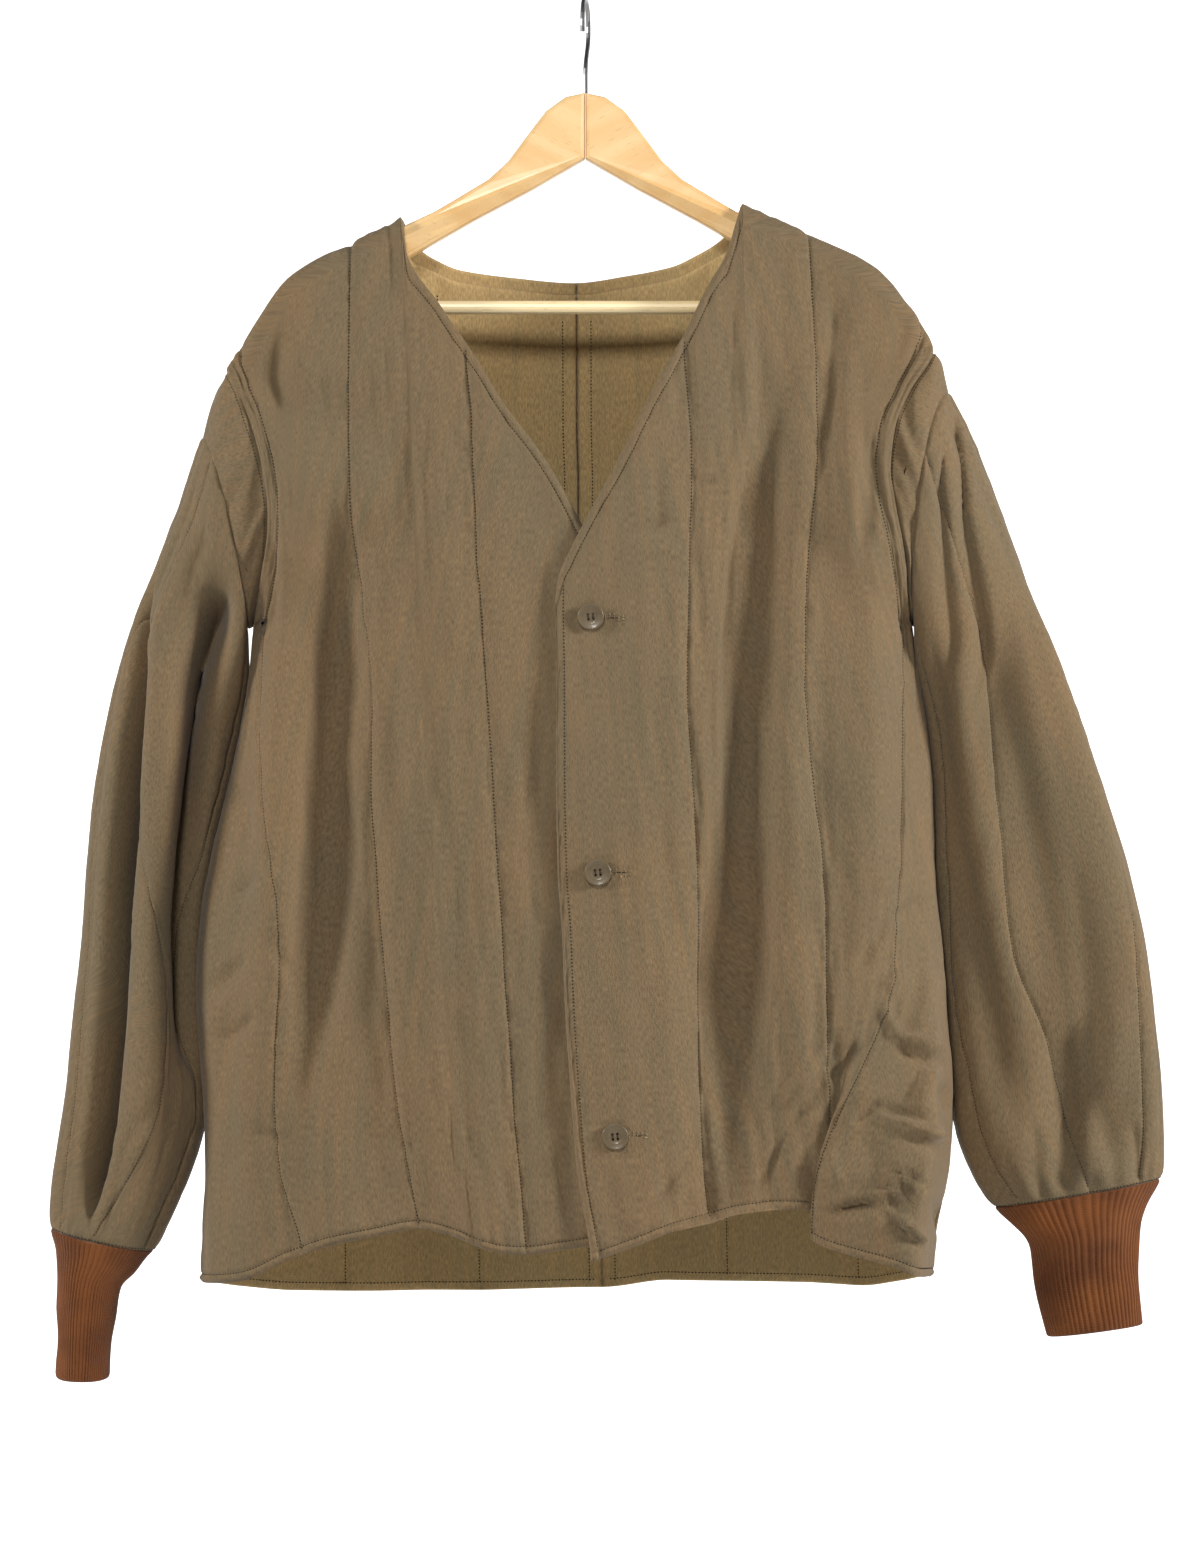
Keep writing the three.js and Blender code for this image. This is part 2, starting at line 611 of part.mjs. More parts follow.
const frontRightGrid = panel({
  lines: rightFront, cells: FRONT_CELLS, top: topEdge(RIGHT_FRONT_NECK),
  hem: curveThrough(RIGHT_FRONT_HEM), point: frontPoint, front: true, side: 'right',
  flatLines: NECK_LINE, shape: lapShape,
});
const frontLeftGrid = panel({
  lines: leftFront, cells: FRONT_CELLS, top: topEdge(LEFT_FRONT_NECK),
  hem: curveThrough(LEFT_FRONT_HEM), point: frontPoint, front: true, side: 'left',
  flatLines: NECK_LINE, shape: flapShape,
});
const backShape = (out) => (at, share) => {
  if (share === 0) at.x += (out * SEAM_GAP) / 2;
};
const backRightGrid = panel({
  lines: rightBack, cells: BACK_CELLS, top: topEdge(BACK_NECK),
  hem: curveThrough(BACK_HEM), point: backPoint, front: false, side: 'right',
  flatLines: NECK_LINE, shape: backShape(-1),
});
const backLeftGrid = panel({
  lines: leftBack, cells: BACK_CELLS, top: topEdge(BACK_NECK),
  hem: curveThrough(BACK_HEM), point: backPoint, front: false, side: 'left',
  flatLines: NECK_LINE, shape: backShape(1),
});

// The lining lies inside the back's wall, and starts a little below its edge.
const LINING_GAP = 0.4;
const LINING_FIRST_ROW = 2;
function liningOf(grid) {
  return grid.slice(LINING_FIRST_ROW).map((row) => row.map(({ point, normal }) => ({
    point: point.clone().addScaledVector(normal, -CLOTH - LINING_GAP), normal, out: 0,
  })));
}

// Rings of a sleeve or cuff. A station is a row of its table, and may lie between two rows.
function tube(rows) {
  const keyed = rows.map((row, i) => [i, ...row]);
  const [outX, outDrop, inX, inDrop, front, back, middle, scoop] = columns(keyed);
  return (station, angle, fold = 0) => {
    const outer = new THREE.Vector3(outX(station), 0, -outDrop(station));
    const inner = new THREE.Vector3(inX(station), 0, -inDrop(station));
    const across = outer.clone().sub(inner);
    const half = across.length() / 2;
    across.normalize();
    const c = Math.cos(angle);
    const s = Math.sin(angle);
    const depth = s > 0 ? front(station) : back(station);
    const squared = (value) => Math.sign(value) * Math.abs(value) ** 0.88;
    const point = outer.clone().add(inner).multiplyScalar(0.5)
      .addScaledVector(across, half * squared(c));
    point.x -= Math.sign(outer.x) * scoop(station) * Math.max(0, s);
    point.y = middle(station) - depth * squared(s);
    const normal = across.clone().multiplyScalar(c / half);
    normal.y = -s / depth;
    normal.normalize();
    point.addScaledVector(normal, fold);
    return { point, normal, out: 0 };
  };
}

function sleeveFold(folds, station, degrees) {
  return folds.reduce((sum, { path, outer, inner, height }) => {
    const first = path[0][0];
    const last = path[path.length - 1][0];
    const along = (station - first) / (last - first);
    const window = smoothstep(0, 0.16, along) * (1 - smoothstep(0.84, 1, along));
    const off = degrees - curveThrough(path)(station);
    return sum + height * window * Math.exp(-((off / (off < 0 ? outer : inner)) ** 2));
  }, 0);
}

const SLEEVE_CELLS = [3, 5, 5, 4, 3, 3, 2]; // seam to inner, middle, outer, then the three at the back
const SLEEVE_ROWS = 17;
const LAST_STATION = RIGHT_SLEEVE.length - 1;

function sleeveGrid(rows, lineTable, folds) {
  const ring = tube(rows);
  const [outerLine, middleLine, innerLine] = columns(lineTable);
  const grid = [];
  for (let j = 0; j <= SLEEVE_ROWS; j++) {
    const station = (j / SLEEVE_ROWS) * LAST_STATION;
    const stops = [180, innerLine(station), middleLine(station), outerLine(station),
      ...[...BACK_SLEEVE_LINES].reverse(), -180];
    const row = [];
    SLEEVE_CELLS.forEach((count, channel) => {
      for (let i = 0; i < count; i++) {
        const degrees = mix(stops[channel], stops[channel + 1], i / count);
        const edge = j === 0 || j === SLEEVE_ROWS;
        const cell = ring(station, radians(degrees), edge ? 0 : sleeveFold(folds, station, degrees));
        cell.out = edge ? 0 : PUFF * Math.sin((Math.PI * i) / count) ** 0.6;
        row.push(cell);
      }
    });
    grid.push(row);
  }
  return grid;
}

function shiftedRow(row, along) {
  return row.map((cell) => ({ ...cell, point: cell.point.clone().add(along) }));
}

const rightSleeveGrid = sleeveGrid(RIGHT_SLEEVE, RIGHT_SLEEVE_LINES, RIGHT_SLEEVE_FOLDS);
const leftSleeveGrid = sleeveGrid(LEFT_SLEEVE, LEFT_SLEEVE_LINES, LEFT_SLEEVE_FOLDS);

const CUFF_CELLS = 24;
const CUFF_ROWS = 5;

function cuffGrid(rows) {
  const ring = tube(rows);
  const grid = [];
  for (let j = 0; j <= CUFF_ROWS; j++) {
    const station = (j / CUFF_ROWS) * (rows.length - 1);
    const row = [];
    for (let i = 0; i < CUFF_CELLS; i++) row.push(ring(station, Math.PI - (i / CUFF_CELLS) * Math.PI * 2));
    grid.push(j === 0 ? shiftedRow(row, new THREE.Vector3(0, 0, -2 * SEAM_GAP)) : row);
  }
  return grid;
}

// The band between the armhole and the sleeve. It starts at the points of the panels' armhole edges.
const BAND_ROWS = 3;
const BAND_GAP = 0.65;
const BAND_BULGE = 3;

function armholeEdge(frontGrid, backGrid) {
  const last = (grid, j) => grid[j][grid[j].length - 1];
  const edge = [];
  for (let j = UNDERARM_ROW; j > 0; j--) edge.push({ ...last(frontGrid, j), inFront: 1 });
  for (let j = 0; j < UNDERARM_ROW; j++) edge.push({ ...last(backGrid, j), inFront: -1 });
  edge[0] = { ...edge[0], point: edge[0].point.clone().lerp(last(backGrid, UNDERARM_ROW).point, 0.5) };
  return edge;
}

function bandGrid(side, sleeveRows, frontGrid, backGrid) {
  const out = side === 'right' ? -1 : 1;
  const ring = tube(sleeveRows);
  const edge = armholeEdge(frontGrid, backGrid);
  const top = edge[UNDERARM_ROW].point;
  const middle = top.clone().add(edge[0].point).multiplyScalar(0.5);
  middle.x += out * 40;
  const axis = ring(0, 0).point.sub(ring(0, Math.PI).point).normalize();
  axis.set(-axis.z, 0, axis.x);
  if (axis.x * out < 0) axis.negate();
  const grid = [];
  for (let j = 0; j <= BAND_ROWS; j++) {
    const share = j / BAND_ROWS;
    grid.push(edge.map((cell, i) => {
      const angle = Math.acos(1 - 2 * armholeShare(cell.drop, armholeTop[side])) * cell.inFront;
      const end = ring(0, angle);
      const before = edge[(i + edge.length - 1) % edge.length].point;
      const after = edge[(i + 1) % edge.length].point;
      const inward = cell.normal.clone().cross(after.clone().sub(before)).normalize();
      if (inward.dot(middle.clone().sub(cell.point)) < 0) inward.negate();
      const start = cell.point.clone().addScaledVector(inward, BAND_GAP);
      end.point.addScaledVector(axis, -BAND_GAP);
      const normal = cell.normal.clone().lerp(end.normal, share).normalize();
      const bulge = BAND_BULGE * Math.sin(Math.PI * share) * (0.5 + 0.5 * Math.cos(angle / 2) ** 2);
      return { point: start.lerp(end.point, share).addScaledVector(normal, bulge), normal, out: 0 };
    }));
  }
  return grid;
}

function mesh(name, geometry, color, roughness, metalness = 0) {
  const material = new THREE.MeshStandardMaterial({ color, roughness, metalness });
  const made = new THREE.Mesh(geometry, material);
  made.name = name;
  return made;
}

const OLIVE = 0x6b5c41;
const KHAKI = 0x86713f;
const RUST = 0x7a4322;
const BEECH = 0xdcae72;

const group = new THREE.Group();
const clothPieces = [
  ['front_right', frontRightGrid, CLOTH, false, OLIVE],
  ['front_left', frontLeftGrid, CLOTH, false, OLIVE],
  ['back_right', backRightGrid, CLOTH, false, OLIVE],
  ['back_left', backLeftGrid, CLOTH, false, OLIVE],
  ['back_lining_right', liningOf(backRightGrid), LINING, false, KHAKI],
  ['back_lining_left', liningOf(backLeftGrid), LINING, false, KHAKI],
  ['armhole_band_right', bandGrid('right', RIGHT_SLEEVE, frontRightGrid, backRightGrid), CLOTH, true, OLIVE],
  ['armhole_band_left', bandGrid('left', LEFT_SLEEVE, frontLeftGrid, backLeftGrid), CLOTH, true, OLIVE],
  ['sleeve_right', rightSleeveGrid, CLOTH, true, OLIVE],
  ['sleeve_left', leftSleeveGrid, CLOTH, true, OLIVE],
  ['cuff_right', cuffGrid(RIGHT_CUFF), 2, true, RUST],
  ['cuff_left', cuffGrid(LEFT_CUFF), 2, true, RUST],
];
clothPieces.forEach(([name, grid, thick, round, color]) => {
  group.add(mesh(name, facingOut(wall(grid, thick, round)), color, 0.95));
});

// Buttons: a turned disc with a rim and a dished middle, and four sewing holes.
function weld(geometry) {
  const p = geometry.getAttribute('position');
  const keys = new Map();
  const points = [];
  const merged = [];
  const index = geometry.getIndex() ? geometry.getIndex().array : [...Array(p.count).keys()];
  index.forEach((i) => {
    const at = [p.getX(i), p.getY(i), p.getZ(i)];
    const key = at.map((value) => Math.round(value * 1e3)).join(' ');
    if (!keys.has(key)) {
      keys.set(key, points.length / 3);
      points.push(...at);
    }
    merged.push(keys.get(key));
  });
  const faces = [];
  for (let i = 0; i < merged.length; i += 3) {
    const [a, b, c] = merged.slice(i, i + 3);
    if (a !== b && b !== c && a !== c) faces.push(a, b, c);
  }
  const welded = new THREE.BufferGeometry();
  welded.setAttribute('position', new THREE.Float32BufferAttribute(points, 3));
  welded.setIndex(faces);
  return welded;
}

function solidOf(geometry) {
  const welded = facingOut(weld(geometry));
  return new wasm.Manifold(new wasm.Mesh({
    numProp: 3,
    vertProperties: welded.getAttribute('position').array,
    triVerts: new Uint32Array(welded.getIndex().array),
  }));
}

function geometryOf(solid) {
  const made = solid.getMesh();
  const geometry = new THREE.BufferGeometry();
  geometry.setAttribute('position', new THREE.BufferAttribute(new Float32Array(made.vertProperties), 3));
  geometry.setIndex(new THREE.BufferAttribute(new Uint32Array(made.triVerts), 1));
  return geometry;
}

function buttonGeometry() {
  const r = BUTTON_RADIUS;
  const profile = [
    [0, 0], [r - 1.2, 0], [r, 1], [r, BUTTON_THICK - 0.6], [r - 0.7, BUTTON_THICK],
    [r - 1.7, BUTTON_THICK - 0.4], [r - 2.6, BUTTON_THICK - 1], [0, BUTTON_THICK - 1],
  ].map(([x, y]) => new THREE.Vector2(x, y));
  let disc = solidOf(new THREE.LatheGeometry(profile, 16));
  [-1, 1].forEach((i) => [-1, 1].forEach((j) => {
    const hole = new THREE.CylinderGeometry(BUTTON_HOLE, BUTTON_HOLE, 3 * BUTTON_THICK, 6);
    hole.translate(i * BUTTON_HOLE_PITCH, 0, j * BUTTON_HOLE_PITCH);
    disc = disc.subtract(solidOf(hole));
  }));
  return geometryOf(disc);
}

const button = buttonGeometry();
BUTTONS.forEach(([x, drop], i) => {
  const seat = frontPoint(x, drop, 'left');
  const piece = mesh(`button_${i + 1}`, button, 0x5d5138, 0.45);
  piece.rotation.x = Math.PI; // the disc's face, +Y, turns to look forward
  piece.position.set(x, seat.y - PUFF - 2 * SEAM_GAP, -drop);
  group.add(piece);
});

// The hanger: two arms cut from board, mitred at the neck and curved forward.
function armGeometry(out) {
  const top = [
    [0.15, WOOD_TOP], [14, 69], [28, 79], [41, 96], [55, 115], [69, 128], [92, 142], [107, 151],
    [130, 162], [150, 172.5], [170, 183], [192, 196],
  ];
  const end = [[205, 205], [212, 215], [212, 226], [205, 233], [190, 234], [178, 230]];
  const under = [[176, 225], [176, 213], [168, 208], [150, 199], [127, 185], [79, 157], [38, 135], [0.15, 113]];
  const outline = [...top, ...end, ...under].map(([x, drop]) => new THREE.Vector2(x, -drop));
  const shape = new THREE.Shape(outline);
  const made = new THREE.ExtrudeGeometry(shape, {
    depth: ARM_THICK - 2 * ARM_BEVEL, bevelEnabled: true, bevelThickness: ARM_BEVEL,
    bevelSize: ARM_BEVEL, bevelOffset: -ARM_BEVEL, bevelSegments: 2, steps: 1,
  });
  const p = made.getAttribute('position');
  for (let i = 0; i < p.count; i++) {
    const x = Math.max(0.15, p.getX(i));
    const y = p.getZ(i) - ARM_THICK / 2 + ARM_BEVEL;
    p.setXYZ(i, out * x, ridgeY(x) + y, p.getY(i));
  }
  return facingOut(weld(made));
}

group.add(mesh('hanger_arm_left', armGeometry(1), BEECH, 0.5));
group.add(mesh('hanger_arm_right', armGeometry(-1), BEECH, 0.5));

const bar = new THREE.CylinderGeometry(BAR_RADIUS, BAR_RADIUS, 2 * BAR_HALF, 16);
bar.rotateZ(Math.PI / 2);
const barMesh = mesh('trouser_bar', bar, BEECH, 0.5);
barMesh.position.set(0, ridgeY(BAR_HALF), -BAR_DROP);
group.add(barMesh);

// The hook: a straight shank that bends back and goes over the rail.
function hookGeometry() {
  const centreline = HOOK_RADIUS + WIRE_RADIUS;
  const points = [new THREE.Vector3(0, 0, -WOOD_TOP + SEAM_GAP), new THREE.Vector3(0, 0, -54)];
  points.push(new THREE.Vector3(0, 1.5, -46), new THREE.Vector3(0, 8, -38));
  for (let degrees = -40; degrees <= 200; degrees += 20) {
    const at = radians(degrees);
    points.push(new THREE.Vector3(0, centreline * Math.cos(at), centreline * Math.sin(at) - HOOK_RADIUS));
  }
  const section = new THREE.Shape();
  section.absarc(0, 0, WIRE_RADIUS, 0, Math.PI * 2);
  const made = new THREE.ExtrudeGeometry(section, {
    steps: 28, curveSegments: 4, bevelEnabled: false, extrudePath: new THREE.CatmullRomCurve3(points),
  });
  made.rotateZ(-radians(HOOK_TURN));
  return made;
}
group.add(mesh('hook', hookGeometry(), 0xb8bcc0, 0.25, 1));

export default group;
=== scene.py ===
import math

import bmesh
import bpy
import numpy as np
from mathutils import Matrix, Vector


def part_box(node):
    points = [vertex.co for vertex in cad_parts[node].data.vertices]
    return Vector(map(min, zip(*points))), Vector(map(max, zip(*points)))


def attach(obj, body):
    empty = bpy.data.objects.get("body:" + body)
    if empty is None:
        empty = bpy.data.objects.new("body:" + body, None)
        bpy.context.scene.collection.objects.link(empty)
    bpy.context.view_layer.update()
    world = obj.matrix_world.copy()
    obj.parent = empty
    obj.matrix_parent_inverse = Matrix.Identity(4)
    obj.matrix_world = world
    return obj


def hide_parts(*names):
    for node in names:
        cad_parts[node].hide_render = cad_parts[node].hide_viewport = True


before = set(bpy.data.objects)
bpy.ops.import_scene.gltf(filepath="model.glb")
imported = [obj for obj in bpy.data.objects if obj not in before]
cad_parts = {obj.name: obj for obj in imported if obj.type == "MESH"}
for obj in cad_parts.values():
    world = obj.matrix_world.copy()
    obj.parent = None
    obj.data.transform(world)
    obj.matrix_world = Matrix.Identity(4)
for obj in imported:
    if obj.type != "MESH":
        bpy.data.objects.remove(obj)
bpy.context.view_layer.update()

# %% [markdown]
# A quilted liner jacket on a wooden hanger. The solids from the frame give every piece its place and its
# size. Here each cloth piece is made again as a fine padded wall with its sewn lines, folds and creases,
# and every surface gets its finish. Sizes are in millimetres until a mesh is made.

MM = 0.001

# %% [markdown]
# The photograph looks straight at the front from a few metres away, so the lens is long and level. One
# pixel of it is 0.7 mm at the jacket, which gives the height of the view.

# %% Camera
PIXEL = 0.7
IMAGE = (1200, 1552)
CAMERA_X, CAMERA_AWAY, CAMERA_DROP = 10.5, 3100, 553
FRONT_AWAY = 60  # how far the jacket's front stands from the hanger's plane
camera_data = bpy.data.cameras.new("camera")
camera_data.sensor_fit = "VERTICAL"
camera_data.sensor_height = 24
camera_data.lens = (CAMERA_AWAY - FRONT_AWAY) / (IMAGE[1] * PIXEL) * camera_data.sensor_height
camera = bpy.data.objects.new("camera", camera_data)
camera.location = (CAMERA_X * MM, -CAMERA_AWAY * MM, -CAMERA_DROP * MM)
camera.rotation_euler = (math.pi / 2, 0, 0)
bpy.context.scene.collection.objects.link(camera)
bpy.context.scene.camera = camera

# %% [markdown]
# The jacket's patterns are short tables: a row for each height, a column for each sewn line. A curve
# through such points must not swing past them, so its slope is zero wherever the points turn back.

# %% Curves and soft steps
def curve(points):
    xs, ys = np.array(points, float).T
    rise = np.diff(ys) / np.diff(xs)
    before, after = rise[:-1], rise[1:]
    total = np.where(before * after > 0, before + after, 1)
    inside = np.where(before * after > 0, 2 * before * after / total, 0)
    slopes = np.concatenate([rise[:1], inside, rise[-1:]])

    def at(x):
        x = np.clip(x, xs[0], xs[-1])
        i = np.clip(np.searchsorted(xs, x, side="right") - 1, 0, len(xs) - 2)
        width = xs[i + 1] - xs[i]
        t = (x - xs[i]) / width
        step = ys[i + 1] - ys[i]
        a = slopes[i] * width - step
        b = step - slopes[i + 1] * width
        return ys[i] + step * t + t * (1 - t) * (a * (1 - t) + b * t)

    return at


def columns(rows):
    table = np.array(rows, float)
    return [curve(np.stack([table[:, 0], table[:, i]], 1)) for i in range(1, table.shape[1])]


def smooth(low, high, value):
    share = np.clip((value - low) / (high - low), 0, 1)
    return share * share * (3 - 2 * share)


def mix(a, b, share):
    return a + (b - a) * share


def unit(vectors):
    return vectors / np.maximum(np.linalg.norm(vectors, axis=-1, keepdims=True), 1e-9)


# %% [markdown]
# Hand-made cloth is never even. Soft noise with a chosen length each way gives the small uneven swells:
# a grid of seeded random numbers with a smooth curve between them.

# %% Soft noise
def noise(seed, across, down):
    lattice = np.random.default_rng(seed).uniform(-1, 1, (64, 64))
    i, j = np.floor(across).astype(int), np.floor(down).astype(int)
    u, v = across - i, down - j
    u, v = u * u * (3 - 2 * u), v * v * (3 - 2 * v)
    corner = lambda di, dj: lattice[(i + di) % 64, (j + dj) % 64]
    return mix(mix(corner(0, 0), corner(1, 0), u), mix(corner(0, 1), corner(1, 1), u), v)


# %% [markdown]
# Round a tube the noise has to meet itself, so its last stretch fades into what comes before the first.

# %% Noise round a tube
def ring_noise(seed, share, cells, down):
    here = noise(seed, cells * share, down)
    return mix(here, noise(seed, cells * (share - 1), down), smooth(0.85, 1, share))


# %% [markdown]
# The tables of the body. The drop is measured down from the hook, and x towards the wearer's left.

# %% The body's tables
RIGHT_FRONT = columns([
    # drop, edge, q1, neck, q2, q3, side
    (160, 26, -84, -130, -166, -246, -256), (255, 26, -84, -126, -167, -244, -256),
    (280, 26, -82, -124, -167, -237, -246), (300, 26, -80, -123, -167, -229, -238),
    (335, 26, -79, -122, -166, -219, -228), (365, 26, -77, -120, -165, -215, -224),
    (400, 26, -76, -119, -163, -217, -226), (430, 26, -73, -117, -161, -222, -230),
    (460, 27, -71, -115, -159, -225, -235), (500, 29, -68, -113, -157, -226, -241),
    (560, 30, -64, -109, -155, -223, -254), (610, 31, -61, -105, -149, -217, -266),
    (650, 34, -58, -102, -146, -214, -273), (690, 36, -56, -99, -142, -214, -276),
    (740, 38, -52, -95, -137, -217, -274), (790, 41, -49, -90, -130, -218, -271),
    (830, 44, -45, -86, -122, -214, -270), (880, 49, -41, -78, -113, -199, -273),
    (930, 52, -37, -72, -107, -190, -275),
])
LEFT_FRONT = columns([
    # drop, edge, q1, neck, q2, q3, side
    (140, -21, 70, 111, 157, 238, 250), (237, -21, 70, 112, 162, 238, 250),
    (253, -21, 70, 112, 163, 233, 247), (281, -21, 72, 112, 164, 219, 230),
    (307, -21, 74, 113, 164, 208, 219), (337, -21, 75, 113, 163, 204, 215),
    (360, -21, 75, 113, 161, 206, 217), (382, -21, 74, 113, 159, 211, 221),
    (430, -21, 73, 113, 156, 219, 229), (486, -20, 72, 114, 155, 223, 238),
    (556, -20, 76, 117, 161, 222, 245), (619, -19, 80, 121, 166, 219, 249),
    (661, -16, 82, 123, 168, 216, 253), (710, -14, 83, 125, 169, 214, 257),
    (785, -9, 85, 127, 171, 212, 261), (822, -6, 86, 130, 174, 211, 259),
    (850, -2, 88, 131, 176, 210, 255), (878, 3, 90, 133, 178, 209, 250),
    (930, 8, 92, 135, 180, 208, 246),
])
RIGHT_BACK = columns([
    # drop, centre, b1, neck, b2, side
    (160, -7, -108, -130, -186, -256), (255, -6, -106, -130, -186, -256),
    (300, -6, -104, -130, -186, -247), (340, -5, -102, -129, -185, -239),
    (365, -5, -102, -129, -184, -236), (400, -4, -101, -128, -183, -233),
    (430, -3, -100, -127, -182, -232), (460, -3, -99, -127, -182, -235),
    (500, -2, -97, -126, -181, -241), (560, 0, -94, -125, -180, -254),
    (610, 1, -91, -123, -179, -266), (650, 2, -89, -122, -178, -273),
    (690, 3, -87, -121, -178, -276), (740, 5, -85, -119, -177, -274),
    (790, 7, -82, -117, -176, -271), (830, 9, -80, -115, -176, -270),
    (880, 11, -78, -113, -175, -273), (930, 12, -77, -112, -175, -275),
])
LEFT_BACK = columns([
    # drop, centre, b1, neck, b2, side
    (140, -7, 89, 111, 180, 250), (237, -6, 90, 112, 180, 250), (281, -6, 90, 113, 180, 238),
    (307, -6, 91, 114, 181, 232), (337, -5, 91, 114, 181, 229), (382, -4, 92, 115, 182, 228),
    (430, -3, 93, 116, 183, 230), (486, -2, 94, 117, 184, 238), (556, 0, 95, 119, 186, 245),
    (619, 1, 96, 121, 188, 249), (661, 2, 98, 123, 190, 253), (710, 4, 99, 125, 192, 257),
    (785, 7, 101, 128, 195, 261), (822, 9, 102, 130, 196, 259), (850, 10, 103, 131, 197, 255),
    (878, 11, 103, 132, 198, 250), (930, 12, 104, 133, 199, 246),
])
LEFT_BACK[0] = RIGHT_BACK[0]

ROOF = curve([
    (-256, 266), (-247, 254), (-231, 230), (-210, 201), (-168, 177), (-130, 157), (0, 86),
    (111, 147), (150, 165), (192, 186), (214, 202), (227, 218), (241, 238), (250, 256),
])
NECK_RIGHT, NECK_LEFT = -130, 111
RIGHT_FRONT_NECK = [
    (-130, 157), (-126, 184), (-104, 218), (-78, 257), (-58, 290), (-29, 329), (-4, 373), (14, 408),
    (26, 437),
]
LEFT_FRONT_NECK = [
    (-21, 431), (-18, 412), (-11, 396), (-1, 376), (23, 332), (44, 288), (70, 241), (86, 208),
    (100, 183), (107, 160), (111, 147),
]
BACK_NECK = [
    (-130, 157), (-120, 174), (-108, 182), (-90, 189), (-49, 194), (-9, 197), (31, 192), (63, 186),
    (79, 179), (95, 170), (105, 160), (111, 147),
]
RIGHT_FRONT_HEM = curve([
    (-276, 914), (-241, 908), (-210, 893), (-178, 881), (-147, 874), (-115, 868), (-94, 872),
    (-74, 880), (-56, 885), (-41, 886), (-18, 883), (8, 879), (52, 864),
])
LEFT_FRONT_HEM = curve([
    (6, 890), (34, 880), (61, 870), (88, 864), (108, 858), (146, 855), (177, 862), (209, 876),
    (220, 884), (232, 893), (240, 902), (247, 910),
])
BACK_HEM = curve([
    (-276, 914), (-250, 920), (-212, 925), (-144, 927), (-77, 927), (-18, 925), (12, 925), (61, 920),
    (106, 920), (159, 920), (200, 921), (228, 916), (247, 910),
])


def top_edge(neckline):
    line = curve(neckline)
    first = neckline[0][0] - (0 if neckline[0][0] == NECK_RIGHT else 100)
    last = neckline[-1][0] + (0 if neckline[-1][0] == NECK_LEFT else 100)
    return lambda x: np.where((x < first) | (x > last), ROOF(x), line(x))


# %% [markdown]
# The cloth bends over the hanger's arm, stands further out towards the hem, and closes round to the side
# seams. The depth is worked out from x and the drop alone, so any fineness of mesh gives one shape.

# %% The body's surface
CLOTH = 3.0  # a wall at a sewn line
PUFF = 2.0  # padding between two of them
LAP_SET_BACK = 6.5
ROOF_RADIUS = 16
FRONT_GROWTH, FRONT_FALL = 74, 230
BACK_GROWTH, BACK_FALL = 50, 200
ARMHOLE_DEPTH = 38
UNDERARM = 446
ARM_SWEEP, ARM_HALF = 16, 213


def ridge_y(x):
    return -ARM_SWEEP * np.clip(np.abs(x) / ARM_HALF, 0, 1) ** 2


def seam_y(x, drop):
    return ridge_y(x) * np.exp(-np.maximum(0, drop - ROOF(x)) / 90)


def meet(line, edge, low, high, count):
    low, high = np.full(count, float(low)), np.full(count, float(high))
    for _ in range(40):
        middle = (low + high) / 2
        above = middle < edge(line(middle))
        low, high = np.where(above, middle, low), np.where(above, high, middle)
    return (low + high) / 2


ARMHOLE_TOP = {
    "right": float(meet(RIGHT_FRONT[-1], ROOF, 200, 300, 1)[0]),
    "left": float(meet(LEFT_FRONT[-1], ROOF, 200, 300, 1)[0]),
}


def armhole_share(drop, side):
    return np.clip((drop - ARMHOLE_TOP[side]) / (UNDERARM - ARMHOLE_TOP[side]), 0, 1)


def armhole_depth(drop, side, from_side):
    # round at the armhole's own edge, and rising more softly further in, where no edge shows
    power = mix(0.65, 1.7, smooth(0, 45, from_side))
    return ARMHOLE_DEPTH * np.abs(np.sin(math.pi * armhole_share(drop, side))) ** power


def armhole_normal(angle, out):
    up = np.cos(angle)
    across = out * (0.15 + np.where(up > 0, 0.45 * up, -0.85 * up))
    return unit(np.stack([across, -np.sin(angle), np.where(up > 0, 0.85 * up, 0)], -1))


def stand_off(x, drop, growth, fall, right, left, edge, past):
    below = np.maximum(0, drop - ROOF(x))
    bend = ROOF_RADIUS * np.sqrt(1 - (1 - np.clip(below / ROOF_RADIUS, 0, 1)) ** 2)
    grown = growth * (1 - np.exp(-np.maximum(0, below - ROOF_RADIUS / 2) / fall))
    across = np.clip(np.abs(x - (right + left) / 2) / ((left - right) / 2), 0, 1)
    closing = np.sqrt(1 - across ** 2.6)
    bend_closing = np.sqrt(1 - across ** 10)
    bent = np.maximum(0, bend - edge * closing) * bend_closing * mix(1, closing, past)
    return edge + bent + np.maximum(0, grown - edge * 0.5) * closing


# %% [markdown]
# Folds are soft troughs and ridges along a line on the cloth. The large ones are in the solids as well.
# The rest are creases, each with its own length, width and depth, as uneven as in the photograph.

# %% Folds of the body
FRONT_FOLDS = [
    # x0, drop0, x1, drop1, width, height
    (-170, 420, -192, 720, 15, -15), (-205, 480, -232, 800, 24, 8), (-224, 205, -216, 300, 9, -6),
    (132, 300, 104, 780, 14, -13), (158, 300, 138, 800, 16, 6), (176, 215, 172, 330, 9, -6),
]
BACK_FOLDS = [
    (-150, 330, -120, 860, 22, 10), (140, 330, 60, 860, 22, 9), (-40, 480, -30, 900, 24, -9),
]


